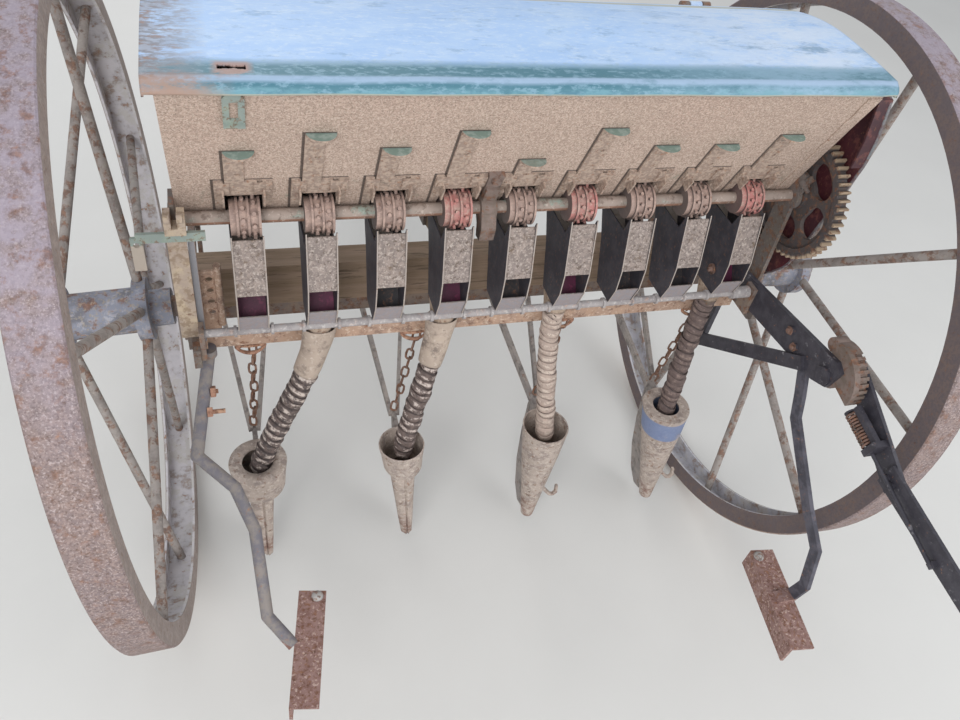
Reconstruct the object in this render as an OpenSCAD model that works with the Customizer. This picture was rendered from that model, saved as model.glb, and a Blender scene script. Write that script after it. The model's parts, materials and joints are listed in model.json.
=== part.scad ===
// Old horse drawn seed drill with a steel hopper, studded feed wheels and four shoe coulters
// Lengths are in millimetres, X runs across the machine, Y is the way it travels, Z is up
// The part is laid out about the axle line and then moved so that its footprint is centred

/* [View] */
// Piece to show

/* [Seed rows] */
// Distance between two neighbouring seed rows
row_pitch = 112; // [95:1:130]
// Number of seed rows
row_count = 9; // [7:2:11]
// Distance between two neighbouring coulters
coulter_pitch = 303; // [260:1:340]

/* [Wheels] */
// Radius of the steel tread
wheel_radius = 600; // [560:5:640]
// Outward lean of each wheel in degrees
wheel_camber = 3.7; // [0:0.1:5]
// Distance from the hopper end to the wheel plane
wheel_offset = 122; // [115:1:140]
// Width of the rim channel
rim_width = 64; // [40:1:80]
// Depth of the rim flanges
rim_flange = 41; // [20:1:60]
// Thickness of the rim channel
rim_wall = 6; // [4:0.5:9]
// Chamfer along the tread edges
rim_chamfer = 2.5; // [1:0.5:3]
// Number of spokes in a wheel
spoke_count = 10; // [8:2:16]
// Radius of a round spoke
spoke_radius = 9; // [6:0.5:11]
// Turn of the right wheel's spokes in degrees
spoke_phase_right = 66; // [0:1:72]
// Turn of the left wheel's spokes in degrees
spoke_phase_left = 0; // [0:1:72]
// Radius of the hub barrel
hub_radius = 42; // [36:1:48]
// Radius of the hub flanges that carry the spokes
hub_flange_radius = 58; // [52:1:66]
// Width of a hub flange
hub_flange_width = 24; // [20:1:30]
// Reach of the hub inward from the wheel plane
hub_inward = 48; // [40:1:55]
// Reach of the hub outward from the wheel plane
hub_outward = 132; // [110:1:150]

/* [Axle and frame] */
// Radius of the stub axles
axle_radius = 20; // [16:1:24]
// Side of the square axle beam
axle_beam = 45; // [38:1:52]
// Thickness of the side rails
rail_thick = 12; // [8:1:16]
// Height of the side rails
rail_height = 50; // [40:1:60]
// How far the side rails reach behind the axle
rail_back = 200; // [190:1:220]
// How far the side rails reach ahead of the axle
rail_front = 340; // [320:1:380]
// Height of the wooden main beam
beam_height = 89; // [70:1:100]
// Depth of the wooden main beam
beam_depth = 50; // [40:1:60]
// Depth of the front rail
front_rail_depth = 42; // [36:1:50]
// Width of the flat standards under the hopper ends
standard_width = 44; // [36:1:50]
// Thickness of the flat standards
standard_thick = 8; // [6:1:10]
// Height of the standards' tops above the seed shaft
standard_rise = 40; // [34:1:50]
// Width of the board beside the left standard
board_width = 28; // [24:1:32]
// Height of the flat rail behind the seed tubes
rear_rail_height = 30; // [24:1:34]
// Thickness of the flat rail behind the seed tubes
rear_rail_thick = 9; // [6:1:10]

/* [Hopper] */
// Height of the hopper floor above the side rails
floor_rise = 197.2; // [190:0.1:205]
// Height of the rear wall
rear_height = 274; // [260:1:290]
// Drop of the front wall's top edge below the rear one
front_drop = 26; // [22:1:34]
// Depth of the hopper floor
floor_depth = 85; // [70:1:100]
// Lean of the rear wall in degrees
rear_lean = 23.6; // [20:0.1:26]
// Lean of the front wall in degrees
front_lean = 32; // [28:0.1:34]
// Thickness of the hopper walls
hopper_wall = 5; // [3:0.5:8]
// Hopper length beyond the outer rows
hopper_end = 100; // [90:1:110]
// Thickness of the lid sheet
lid_sheet = 3; // [2:0.5:4]
// Rise of the lid's crown above the rear wall
lid_rise = 27.5; // [26:0.5:36]
// Overhang of the lid past the hopper ends
lid_overhang = 13; // [10:1:18]
// Depth of the lid's end skirts
lid_skirt = 16; // [10:1:24]

/* [Seed shaft and gears] */
// Radius of the seed shaft
shaft_radius = 11; // [9:0.5:12]
// Radius of a feed wheel
feed_radius = 35; // [30:1:36]
// Width of a feed wheel with its collar
feed_width = 46; // [38:1:48]
// Radius of the collar beside a feed wheel
collar_radius = 29; // [25:1:31]
// Number of studs around a feed wheel row
stud_count = 11; // [8:1:13]
// Radius of a stud
stud_radius = 3.2; // [2.5:0.1:4]
// Gear module
gear_module = 4.7; // [4.5:0.05:4.8]
// Teeth of the gear on the seed shaft
gear_teeth = 50; // [46:1:52]
// Teeth of the idler gear
idler_teeth = 33; // [32:1:35]
// Teeth of the pinion on the right hub
pinion_teeth = 21; // [20:1:23]
// Face width of the gears
gear_width = 22; // [16:1:24]
// Radius of the idler pin
idler_pin = 10; // [8:0.5:12]

/* [Chutes and tubes] */
// Outer width of a chute
chute_width = 50; // [44:1:54]
// Thickness of the chute sheet
chute_sheet = 3; // [2:0.5:4]
// Height of the open window at the foot of a chute
window_height = 33; // [26:1:38]
// Radius of the round bar under the chutes
chute_bar_radius = 7; // [6:0.5:9]
// Outer radius of a seed tube
tube_radius = 18; // [15:0.5:20]
// Wall of a seed tube
tube_wall = 3; // [2:0.5:4]
// Height of the funnel between a chute and its seed tube
funnel_height = 42; // [34:1:50]

/* [Coulters] */
// Radius of the drag bar
drag_radius = 11; // [9:0.5:13]
// Half distance between the legs of a fork at the drag bar
fork_half = 58; // [50:1:66]
// Height of a fork leg
leg_height = 22; // [18:1:26]
// Thickness of a fork leg
leg_thick = 8; // [6:0.5:10]
// Thickness of the shoe plate
shoe_thick = 10; // [8:0.5:14]
// Wall of a coulter cup
cup_wall = 3; // [2:0.5:4]
// Radius of a cup at its lower end
cup_tip_radius = 15; // [13:0.5:20]
// Half width of the hole in a cup's ring
ring_hole = 30; // [25:1:34]

/* [Lift lever and footboard irons] */
// Thickness of the lever arm plate
arm_thick = 10; // [8:1:12]
// Height of the lever arm plate
arm_height = 58; // [50:1:64]
// Reach of the lever's pivot behind the side rails
pivot_reach = 232; // [222:1:240]
// Length of the lever's inner bar
lever_inner = 222; // [210:1:240]
// Length of the lever's outer bar
lever_outer = 387.05; // [350:0.05:420]
// Width of the lever's bars
lever_width = 50; // [44:1:54]
// Thickness of each of the lever's bars
lever_thick = 7; // [6:0.5:8]
// Outer radius of the cast quadrant
quadrant_radius = 65; // [60:1:68]
// Radius of the lever's pivot pin
lever_pin = 9; // [7:0.5:11]
// Leg length of the footboard angle irons
iron_leg = 50; // [40:1:60]
// Thickness of the footboard angle irons
iron_thick = 6; // [4:0.5:8]
// Length of the footboard angle irons
iron_length = 215; // [190:1:240]
// Radius of the bar that carries the left angle iron
bracket_radius = 11; // [9:0.5:13]
// Width of the flat bar that carries the right angle iron
bracket_width = 24; // [20:1:28]

/* [Pole] */
// Side of the square wooden pole
pole_side = 75; // [65:1:85]
// Slope of the pole in degrees
pole_slope = 15; // [14:0.1:17]
// Radius of the tow eye
eye_radius = 40; // [36:1:46]
// Radius of the hole in the tow eye
eye_bore = 18; // [14:0.5:22]
// Thickness of the tow eye
eye_thick = 16; // [12:1:20]

/* [Clearances] */
// Gap where pieces of one body lie on each other
seat_gap = 0.3; // [0.2:0.05:0.5]
// Radial gap of a running fit
run_gap = 0.06; // [0.03:0.01:0.1]
// Gap beside a piece that turns or swings
swing_gap = 5; // [5:0.5:8]

/* [Hidden] */
round_fn = 64;
rim_fn = 144;
c = wheel_camber;
// half length of the hopper and half distance between the outer faces of the side rails
hopper_half = row_pitch * (row_count - 1) / 2 + hopper_end;
rail_in = hopper_half - rail_thick;
wheel_x = hopper_half + wheel_offset;
wheel_z = wheel_radius * cos(c) + rim_width / 2 * sin(c);
// the axle beam ends just outside the rails
beam_end = hopper_half + 7;
axle_z = wheel_z + (wheel_x - beam_end) * tan(c);
rail_z = axle_z + axle_beam / 2;
rail_top = rail_z + rail_height;
beam_front_y = 10;
beam_rear_y = beam_front_y - beam_depth;
// hopper section
floor_z = rail_top + floor_rise;
rear_top_z = floor_z + rear_height;
front_top_z = rear_top_z - front_drop;
lid_crown_z = rear_top_z + lid_rise;
floor_rear_y = -105;
floor_front_y = floor_rear_y + floor_depth;
function rear_y(z) = floor_rear_y - (z - floor_z) * tan(rear_lean);
function front_y(z) = floor_front_y + (z - floor_z) * tan(front_lean);
crown_y = -75;
hinge_y = front_y(front_top_z) + 15;
hinge_z = front_top_z + 4;
knuckle_radius = 8;
hinge_pin = 4;
lid_rear_y = rear_y(rear_top_z) - 11;
lid_front_y = hinge_y - knuckle_radius + 1;
lid_gap = 0.5;
// the lid falls along one parabola to its front edge and along a flatter one to its rear edge
lid_bend_y = lid_rear_y + 14;
front_fall = (lid_crown_z - hinge_z - 3.4) / pow(lid_front_y - crown_y, 2);
rear_fall = 0.18 * lid_rise / pow(lid_bend_y - crown_y, 2);
function arch_z(y) = lid_crown_z - (y > crown_y ? front_fall : rear_fall) * pow(y - crown_y, 2);
// seed shaft line
shaft_y = -130;
shaft_z = floor_z + 18.5;
gear_in = hopper_half + standard_thick + 6;
gear_x = gear_in + gear_width / 2;
gear_r = gear_module * gear_teeth / 2;
idler_r = gear_module * idler_teeth / 2;
pinion_r = gear_module * pinion_teeth / 2;
pinion_z = wheel_z + (wheel_x - gear_x) * tan(c);
// idler centre from the two centre distances
span = norm([shaft_y, shaft_z - pinion_z]);
reach_seed = gear_r + idler_r;
reach_pinion = idler_r + pinion_r;
along = (reach_seed * reach_seed - reach_pinion * reach_pinion + span * span) / (2 * span);
aside = sqrt(max(0, reach_seed * reach_seed - along * along));
uy = -shaft_y / span;
uz = (pinion_z - shaft_z) / span;
idler_y = shaft_y + along * uy - aside * uz;
idler_z = shaft_z + along * uz + aside * uy;
// tooth phases that keep the train in mesh at rest
to_idler = atan2(idler_z - shaft_z, idler_y - shaft_y);
idler_phase = to_idler + 180 + to_idler * gear_teeth / idler_teeth - 180 / idler_teeth;
to_pinion = atan2(pinion_z - idler_z, -idler_y);
pinion_phase = to_pinion + 180 + (to_pinion - idler_phase) * idler_teeth / pinion_teeth - 180 / pinion_teeth;
pinion_local = (gear_x - wheel_x) / cos(c);
guard_in = gear_in + gear_width + 8;
guard_thick = 5;
standard_top = shaft_z + standard_rise;
// chutes
chute_bar_y = -180;
chute_bar_z = rail_top + 20.3;
chute_bottom = chute_bar_z + chute_bar_radius + seat_gap;
chute_front_y = -128;
chute_top = shaft_z - feed_radius - swing_gap - 0.5;
// front corners of a chute's side, from the top of its front plate down to its foot
chute_lip = [-173, chute_top + 5];
chute_kink = [-197, chute_bar_z + 60];
chute_sill = [-199, chute_kink[1] - window_height];
chute_foot = [chute_bar_y - 7, chute_bottom];
chute_back = [shaft_y + 34, chute_bar_z + 89];
chute_neck = [floor_rear_y + 43, shaft_z - 46.5];
// drag bar and coulters
drag_y = rail_front - 110;
drag_z = axle_z - 138.2;
cup_y = -205;
shoulder = 75;
cup_tip_z = 45;
// lever
pivot_y = -rail_back - pivot_reach;
pivot_z = rail_top + 39;
arm_out = rail_in - seat_gap;
arm_in = arm_out - arm_thick;
quadrant_in = arm_out + seat_gap;
quadrant_out = arm_out + 31;
lever_in = quadrant_out + swing_gap;
// the inner bar drops from the pivot and the outer bar, lapped on it, runs flatter
lever_drop = 25;
lever_bend = 19;
lever_offset = 24;
lap = 32;
lever_end = lever_width * 0.36;
outer_start = [lever_inner - lap, lever_offset];
tip_along = outer_start[0] + (lever_outer - lever_end) * cos(lever_bend);
tip_above = outer_start[1] + (lever_outer - lever_end) * sin(lever_bend);
lever_tip_y = pivot_y - tip_along * cos(lever_drop) - tip_above * sin(lever_drop) - lever_end;
// pole
attach_y = rail_front - front_rail_depth / 2;
attach_z = rail_z - pole_side / 2 / cos(pole_slope) - 6;
eye_z = pole_side / 2 * cos(pole_slope) - (eye_radius + 4) * sin(pole_slope);
eye_y = attach_y + (attach_z - eye_z) / tan(pole_slope);
pole_start = 75;
pole_length = (eye_y - attach_y) / cos(pole_slope) + pole_start - eye_radius - 4;
tip_y = eye_y + eye_radius * cos(pole_slope) + eye_thick / 2 * sin(pole_slope);
mid_y = (tip_y + lever_tip_y) / 2;

// x factor, cup radius, cup top, ring, hook, index of the chute that feeds it
COULTERS = [
  [-1.5, 56, 375, 1, 0, 1],
  [-0.5, 47, 375, 0, 0, 3],
  [0.5, 50, 375, 0, 1, 5],
  [1.5, 53.5, 395, 1, 1, 8],
];
// tab height up the rear wall for each row
SHUTTERS = [175, 215, 177, 216, 140, 218, 171, 171, 195, 160, 170];

function row_x(i) = (i - (row_count - 1) / 2) * row_pitch;
function coulter_x(k) = COULTERS[k - 1][0] * coulter_pitch;
function unit(v) = v / norm(v);

module place() translate([0, -mid_y, 0]) children();
// turns a section drawn in Y and Z into a solid that runs along X
module along_x(from, to) translate([from, 0, 0]) rotate([90, 0, 90]) linear_extrude(height = to - from) children();
module x_cylinder(r, from, to, fn = round_fn) translate([from, 0, 0]) rotate([0, 90, 0]) cylinder(r = r, h = to - from, $fn = fn);
module rod(p, q, r, fn = 32) {
  d = q - p;
  translate(p) rotate([0, acos(d[2] / norm(d)), atan2(d[1], d[0])]) cylinder(r = r, h = norm(d), $fn = fn);
}
module rod_path(points, r, fn = 32) {
  for (i = [0 : len(points) - 2]) rod(points[i], points[i + 1], r, fn);
  for (i = [1 : len(points) - 2]) translate(points[i]) sphere(r = r, $fn = fn);
}
// hollow pipe swept along p, one ring of points at each place
module swept_pipe(p, ro, ri, sides = 20) {
  n = len(p);
  m = n * sides;
  dirs = [for (i = [0 : n - 1]) unit(p[min(n - 1, i + 1)] - p[max(0, i - 1)])];
  rings = [for (r = [ro, ri]) for (i = [0 : n - 1]) let (d = dirs[i], u = unit(cross([0, 1, 0], d)), w = cross(d, u))
    for (k = [0 : sides - 1]) p[i] + r * (cos(k * 360 / sides) * u + sin(k * 360 / sides) * w)];
  walls = [for (i = [0 : n - 2]) for (k = [0 : sides - 1])
    let (q = (k + 1) % sides, a = i * sides + k, b = i * sides + q, c1 = a + sides, d1 = b + sides)
    each [[a, c1, d1], [a, d1, b], [m + a, m + d1, m + c1], [m + a, m + b, m + d1]]];
  ends = [for (k = [0 : sides - 1]) let (q = (k + 1) % sides, e = (n - 1) * sides)
    each [[k, q, m + q], [k, m + q, m + k], [e + k, m + e + q, e + q], [e + k, m + e + k, m + e + q]]];
  polyhedron(points = rings, faces = concat(walls, ends));
}
// flat bar with thickness w across and height h, from p to q
module flat_bar(p, q, w, h) {
  d = q - p;
  translate(p) rotate([0, -atan2(d[2], norm([d[0], d[1]])), atan2(d[1], d[0])])
    translate([0, -w / 2, -h / 2]) cube([norm(d), w, h]);
}
module mirrored(side) {
  if (side < 0) mirror([1, 0, 0]) children();
  else children();
}
module wheel_place(side) place() mirrored(side) translate([wheel_x, 0, wheel_z]) rotate([0, c, 0]) children();

// wheels
module rim() {
  r = wheel_radius;
  w = rim_width / 2;
  t = rim_wall;
  rotate([0, 90, 0]) rotate_extrude($fn = rim_fn) polygon([
    [r - rim_flange, -w], [r - rim_chamfer, -w], [r, -w + rim_chamfer], [r, w - rim_chamfer],
    [r - rim_chamfer, w], [r - rim_flange, w], [r - rim_flange, w - t], [r - t, w - t],
    [r - t, -w + t], [r - rim_flange, -w + t]]);
}
module spokes(phase) {
  inner = -hub_inward + hub_flange_width / 2;
  outer = hub_outward - 14 - hub_flange_width / 2;
  for (i = [0 : spoke_count - 1]) {
    a = phase + i * 360 / spoke_count;
    hx = i % 2 == 0 ? inner : outer;
    start = hub_flange_radius + seat_gap;
    stop = wheel_radius - rim_wall - seat_gap;
    intersection() {
      rod([hx, (start - 20) * cos(a), (start - 20) * sin(a)], [0, (stop + 8) * cos(a), (stop + 8) * sin(a)], spoke_radius, 24);
      difference() {
        x_cylinder(stop, -rim_width / 2 - 60, hub_outward + 20, rim_fn);
        x_cylinder(start, -rim_width / 2 - 61, hub_outward + 21);
      }
    }
  }
}
module hub(sleeve) {
  difference() {
    union() {
      x_cylinder(hub_radius, -hub_inward, hub_outward - 14);
      x_cylinder(hub_radius - 7, hub_outward - 14.01, hub_outward);
      x_cylinder(hub_flange_radius, -hub_inward, -hub_inward + hub_flange_width);
      x_cylinder(hub_flange_radius, hub_outward - 14 - hub_flange_width, hub_outward - 14);
      x_cylinder(hub_radius - 8, -sleeve, -hub_inward + 1);
    }
    x_cylinder(axle_radius + run_gap, -sleeve - 1, hub_outward + 1);
  }
}
module rim_left() color("#8f6f57") wheel_place(-1) rim();
module rim_right() color("#8f6f57") wheel_place(1) rim();
module spokes_left() color("#8f8b88") wheel_place(-1) spokes(spoke_phase_left);
module spokes_right() color("#8f8b88") wheel_place(1) spokes(spoke_phase_right);
module hub_left() color("#6d6a6c") wheel_place(-1) hub(-pinion_local - gear_width / 2);
module hub_right() color("#6d6a6c") wheel_place(1) hub(-pinion_local - gear_width / 2);

// spur gear section with straight sided teeth, first tooth towards Y
module gear_teeth_2d(count, m) {
  r = m * count / 2;
  pitch = 360 / count;
  tip = r + 0.9 * m;
  root = r - 1.25 * m;
  polygon([for (i = [0 : count - 1]) let (a = i * pitch)
    each [
      [root * cos(a - 0.31 * pitch), root * sin(a - 0.31 * pitch)],
      [tip * cos(a - 0.11 * pitch), tip * sin(a - 0.11 * pitch)],
      [tip * cos(a + 0.11 * pitch), tip * sin(a + 0.11 * pitch)],
      [root * cos(a + 0.31 * pitch), root * sin(a + 0.31 * pitch)],
    ]]);
}
module gear(count, m, width, bore, rim_depth, hub_r, web, holes) {
  root = m * count / 2 - 1.25 * m;
  inner = root - rim_depth;
  difference() {
    translate([-width / 2, 0, 0]) along_x(0, width) gear_teeth_2d(count, m);
    x_cylinder(bore, -width, width);
    for (s = [-1, 1]) mirrored(s) difference() {
      x_cylinder(inner, web / 2, width);
      x_cylinder(hub_r, 0, width + 1);
    }
    for (i = [0 : 1 : holes - 1]) rotate([i * 360 / max(1, holes) + kidney_turn, 0, 0])
      kidney((inner + hub_r) / 2 + 4, (inner - hub_r) / 2 - 14, width);
  }
}
// hole with round ends that follows the circle of radius r
kidney_turn = -90;
kidney_half = 9;
module kidney(r, half, width) {
  for (s = [-1, 1]) rotate([s * kidney_half, 0, 0]) translate([0, r, 0]) x_cylinder(half, -width, width, 32);
  intersection() {
    difference() {
      x_cylinder(r + half, -width, width);
      x_cylinder(r - half, -width - 1, width + 1);
    }
    along_x(-width, width) polygon([[0, 0], [2 * r, -2 * r * tan(kidney_half)], [2 * r, 2 * r * tan(kidney_half)]]);
  }
}
module pinion() color("#4a4648") wheel_place(1) translate([pinion_local, 0, 0]) rotate([pinion_phase, 0, 0])
  gear(pinion_teeth, gear_module, gear_width, axle_radius + run_gap, 8, hub_radius - 8, gear_width, 0);
module idler_gear() color("#4a4648") place() translate([gear_x, idler_y, idler_z]) rotate([idler_phase, 0, 0])
  gear(idler_teeth, gear_module, gear_width, idler_pin + run_gap, 9, 22, 12, 0);
module seed_gear() color("#4f4a4a") place() translate([gear_x, shaft_y, shaft_z])
  gear(gear_teeth, gear_module, gear_width, shaft_radius + seat_gap, 10, 26, 9, 5);

// seed shaft and its studded wheels
module seed_shaft() color("#7a6455") place() translate([0, shaft_y, shaft_z]) {
  x_cylinder(shaft_radius, -hopper_half - standard_thick - 8, gear_x + gear_width / 2 + 5);
}
module feed_wheel() {
  wheel_left = -feed_width / 2 + feed_width * 0.2;
  wheel_right = feed_width / 2;
  ring = feed_width * 0.08;
  mid = (wheel_left + wheel_right) / 2;
  row = [(wheel_left + mid) / 2 + ring / 4, (wheel_right + mid) / 2 - ring / 4];
  difference() {
    union() {
      x_cylinder(collar_radius, -feed_width / 2, wheel_left + 0.01);
      x_cylinder(feed_radius - 6, wheel_left, wheel_right);
      for (x = [wheel_left, mid - ring / 2, wheel_right - ring]) x_cylinder(feed_radius - 2.5, x, x + ring);
      for (s = [0, 1]) for (i = [0 : stud_count - 1]) rotate([(i + s / 2) * 360 / stud_count, 0, 0])
        translate([row[s], 0, feed_radius - 12]) cylinder(r = stud_radius, h = 12, $fn = 16);
    }
    x_cylinder(shaft_radius + seat_gap, -feed_width, feed_width);
  }
}
module feed_wheels() color("#9c7a70") place() for (i = [0 : row_count - 1])
  translate([row_x(i), shaft_y, shaft_z]) feed_wheel();

// hopper
module hopper_section() {
  steps = 12;
  y0 = rear_y(rear_top_z);
  y1 = front_y(front_top_z);
  polygon(concat(
    [[y0, rear_top_z]],
    [for (i = [1 : steps - 1]) let (y = y0 + (y1 - y0) * i / steps) [y, arch_z(y) - lid_sheet - lid_gap]],
    [[y1, front_top_z], [floor_front_y, floor_z], [floor_rear_y, floor_z]]));
}
module hopper() color("#b7a184") place() difference() {
  along_x(-hopper_half, hopper_half) hopper_section();
  along_x(-hopper_half + hopper_wall, hopper_half - hopper_wall) polygon([
    [rear_y(lid_crown_z + 100) + hopper_wall / cos(rear_lean), lid_crown_z + 100],
    [rear_y(floor_z + hopper_wall) + hopper_wall / cos(rear_lean), floor_z + hopper_wall],
    [front_y(floor_z + hopper_wall) - hopper_wall / cos(front_lean), floor_z + hopper_wall],
    [front_y(lid_crown_z + 100) - hopper_wall / cos(front_lean), lid_crown_z + 100]]);
  for (i = [0 : row_count - 1]) translate([row_x(i), shaft_y, shaft_z])
    x_cylinder(feed_radius + swing_gap, -feed_width / 2 - swing_gap, feed_width / 2 + swing_gap);
}
// frame of reference on the rear wall, -Y outward and Z up the wall
module on_rear() translate([0, floor_rear_y, floor_z]) rotate([rear_lean, 0, 0]) children();
slot_top = 68;
plate_left = -24;
stem_width = 28;
tab_radius = 21.5;
tab_x = -4;
module shutters() color("#8d8a78") place() on_rear() for (i = [0 : row_count - 1]) translate([row_x(i), 0, 0]) {
  top = SHUTTERS[i];
  difference() {
    union() {
      translate([plate_left, -3, slot_top]) cube([2 * (tab_x - plate_left) + 4, 3, 36]);
      translate([plate_left - 2, -3, slot_top + 30]) cube([stem_width, 3, top - slot_top - 30]);
      translate([tab_x - tab_radius, -3, top - 7]) cube([2 * tab_radius, 3, 7]);
    }
    translate([plate_left + stem_width * 0.6, 1, top - min(52, (top - slot_top) / 2)]) rotate([90, 0, 0]) cylinder(r = 4, h = 6, $fn = 24);
  }
  // half round tab, bent out level
  translate([tab_x, -3 * sin(rear_lean) - 0.1, top - 1]) rotate([-rear_lean, 0, 0]) difference() {
    cylinder(r = tab_radius, h = 3, $fn = 48);
    translate([-tab_radius - 1, 0, -4]) cube([2 * tab_radius + 2, tab_radius + 1, 12]);
  }
}
guide_half = 42;
guide_gap = feed_width / 2 + swing_gap + 0.2;
module shutter_guides() color("#6d6a5c") place() on_rear() for (i = [0 : row_count - 1]) translate([row_x(i), 0, 0])
  for (s = [-1, 1]) {
    hold = s < 0 ? plate_left + 4 : 2 * (tab_x - plate_left) + plate_left;
    translate([min(s * guide_half, s * guide_gap), -3, slot_top - 30]) cube([guide_half - guide_gap, 3, 66]);
    translate([min(s * guide_half, hold), -6.5, slot_top + 8]) cube([abs(s * guide_half - hold), 3.3, 26]);
    translate([s * (guide_half - 7), -5, slot_top + 21]) rotate([90, 0, 0]) cylinder(r = 4, h = 5, $fn = 24);
    translate([s * (guide_gap + 1.5) - 1.5, -19, slot_top - 8]) cube([3, 19, 30]);
  }
hasp_x = row_x(0) - 7;
// from the rear wall's top edge down along it to the hasp's foot
hasp_drop = 59.00823;
module hasp() color("#7f9484") place() on_rear() translate([hasp_x, 0, rear_height / cos(rear_lean) - hasp_drop]) difference() {
  union() {
    translate([-14, -4, 0]) cube([28, 4, 50]);
    translate([0, 0, 50]) rotate([90, 0, 0]) cylinder(r = 14, h = 4, $fn = 48);
    translate([-14, -9, 0]) cube([28, 5.01, 5]);
  }
  translate([-5.5, -12, 11]) cube([11, 16, 36]);
}

// lid, a bent sheet with end skirts
function path_normal(p, i) = let (a = p[max(0, i - 1)], b = p[min(len(p) - 1, i + 1)], d = unit(b - a)) [d[1], -d[0]];
lid_steps = 18;
lid_path = concat(
  [[lid_rear_y, rear_top_z - 4], [lid_rear_y, rear_top_z + 0.29 * lid_rise], [lid_rear_y + 5, rear_top_z + 0.58 * lid_rise]],
  [for (i = [0 : lid_steps]) let (y = lid_bend_y + (lid_front_y - lid_bend_y) * i / lid_steps) [y, arch_z(y)]]);
lid_inner = [for (i = [0 : len(lid_path) - 1]) lid_path[i] + path_normal(lid_path, i) * lid_sheet];
module lid_section() polygon(concat(lid_path, [for (i = [len(lid_inner) - 1 : -1 : 0]) lid_inner[i]]));
module skirt_section() polygon(concat(
  lid_path, [for (i = [len(lid_path) - 1 : -1 : 2]) [lid_path[i][0] - (i == len(lid_path) - 1 ? 2 : 0), lid_path[i][1] - lid_skirt]]));
hinge_xs = [-hopper_half * 0.72, 0, hopper_half * 0.72];
slot_x = -hopper_half + 78;
slot_length = 34;
module lid() color("#5f97a8") place() {
  half = hopper_half + lid_overhang;
  difference() {
    union() {
      along_x(-half, half) lid_section();
      for (s = [-1, 1]) mirrored(s) along_x(half - lid_sheet, half) skirt_section();
      for (x = hinge_xs) translate([x, hinge_y, hinge_z]) x_cylinder(knuckle_radius, -12, 12, 32);
    }
    for (x = hinge_xs) translate([x, hinge_y, hinge_z]) {
      x_cylinder(hinge_pin + run_gap, -13, 13, 32);
      for (s = [-1, 1]) mirrored(s) x_cylinder(knuckle_radius + 1.5, 13, 31, 32);
    }
    // torn slot near the rear edge
    translate([slot_x, lid_rear_y + 32, rear_top_z]) cube([slot_length, 7, lid_rise + 10]);
  }
}
module hinges() color("#5a5a56") place() for (x = hinge_xs) {
  translate([x, hinge_y, hinge_z]) x_cylinder(hinge_pin, -30, 30, 32);
  for (s = [-1, 1]) translate([x, 0, 0]) mirrored(s) {
    translate([0, hinge_y, hinge_z]) x_cylinder(knuckle_radius, 14, 30, 32);
    along_x(14, 30) polygon([
      [hinge_y + 4, hinge_z], [hinge_y - 4, hinge_z - 3], [front_y(front_top_z - 12), front_top_z - 12],
      [front_y(front_top_z - 50), front_top_z - 50], [front_y(front_top_z - 50) + 5, front_top_z - 50],
      [front_y(front_top_z - 20) + 6, front_top_z - 20]]);
  }
}

// chutes under the feed wheels
module chute() {
  h = chute_width / 2;
  t = chute_sheet;
  side = [chute_lip, chute_kink, chute_sill, chute_foot, [chute_front_y, chute_bottom], chute_back, chute_neck,
    [chute_neck[0], floor_z], [chute_neck[0] - 26, floor_z], [chute_neck[0] - 26, chute_top],
    [chute_lip[0] + 14, chute_top], chute_lip + [9, 11], chute_lip + [3, 14]];
  for (s = [-1, 1]) mirrored(s) along_x(h - t, h) polygon(side);
  // front plate above the window, sill below it, and back plate
  along_x(-h, h) polygon([chute_lip, chute_kink, chute_kink + [t, 0], chute_lip + [t, 0]]);
  along_x(-h, h) polygon([chute_sill, chute_foot, chute_foot + [t, 0], chute_sill + [t, 0]]);
  along_x(-h, h) polygon([[chute_front_y, chute_bottom], chute_back, chute_neck, chute_neck - [t, 0], chute_back - [t, 0],
    [chute_front_y - t, chute_bottom]]);
  // rolled ear that rests on the bar
  along_x(-h, h) polygon([chute_foot, [chute_foot[0], chute_bottom + 4], [chute_foot[0] + 14, chute_bottom + 4],
    [chute_foot[0] + 14, chute_bottom]]);
}
module chutes() color("#8a7d74") place() for (i = [0 : row_count - 1]) translate([row_x(i), 0, 0]) chute();
module chute_bar() color("#6b5a50") place() translate([0, chute_bar_y, chute_bar_z]) {
  x_cylinder(chute_bar_radius, -rail_in + seat_gap, arm_in - seat_gap, 32);
  x_cylinder(chute_bar_radius + 5, arm_in - 52, arm_in - 12, 32);
  for (i = [0 : row_count - 1]) for (s = [-1, 1]) translate([row_x(i) + s * (chute_width / 2 + 5), 0, 0])
    x_cylinder(chute_bar_radius + 3, -2.5, 2.5, 32);
}
ear_width = 8;
module bar_ears() color("#5a4f4a") place() for (x = [-rail_in + seat_gap, arm_in - seat_gap - ear_width]) difference() {
  along_x(x, x + ear_width) polygon([
    [chute_bar_y - 13, rail_z + 20], [chute_bar_y + 22, rail_z + 20], [chute_bar_y + 15, chute_bar_z + 13], [chute_bar_y - 13, chute_bar_z + 13]]);
  translate([0, chute_bar_y, chute_bar_z]) x_cylinder(chute_bar_radius + seat_gap, -hopper_half, hopper_half, 32);
}

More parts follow.
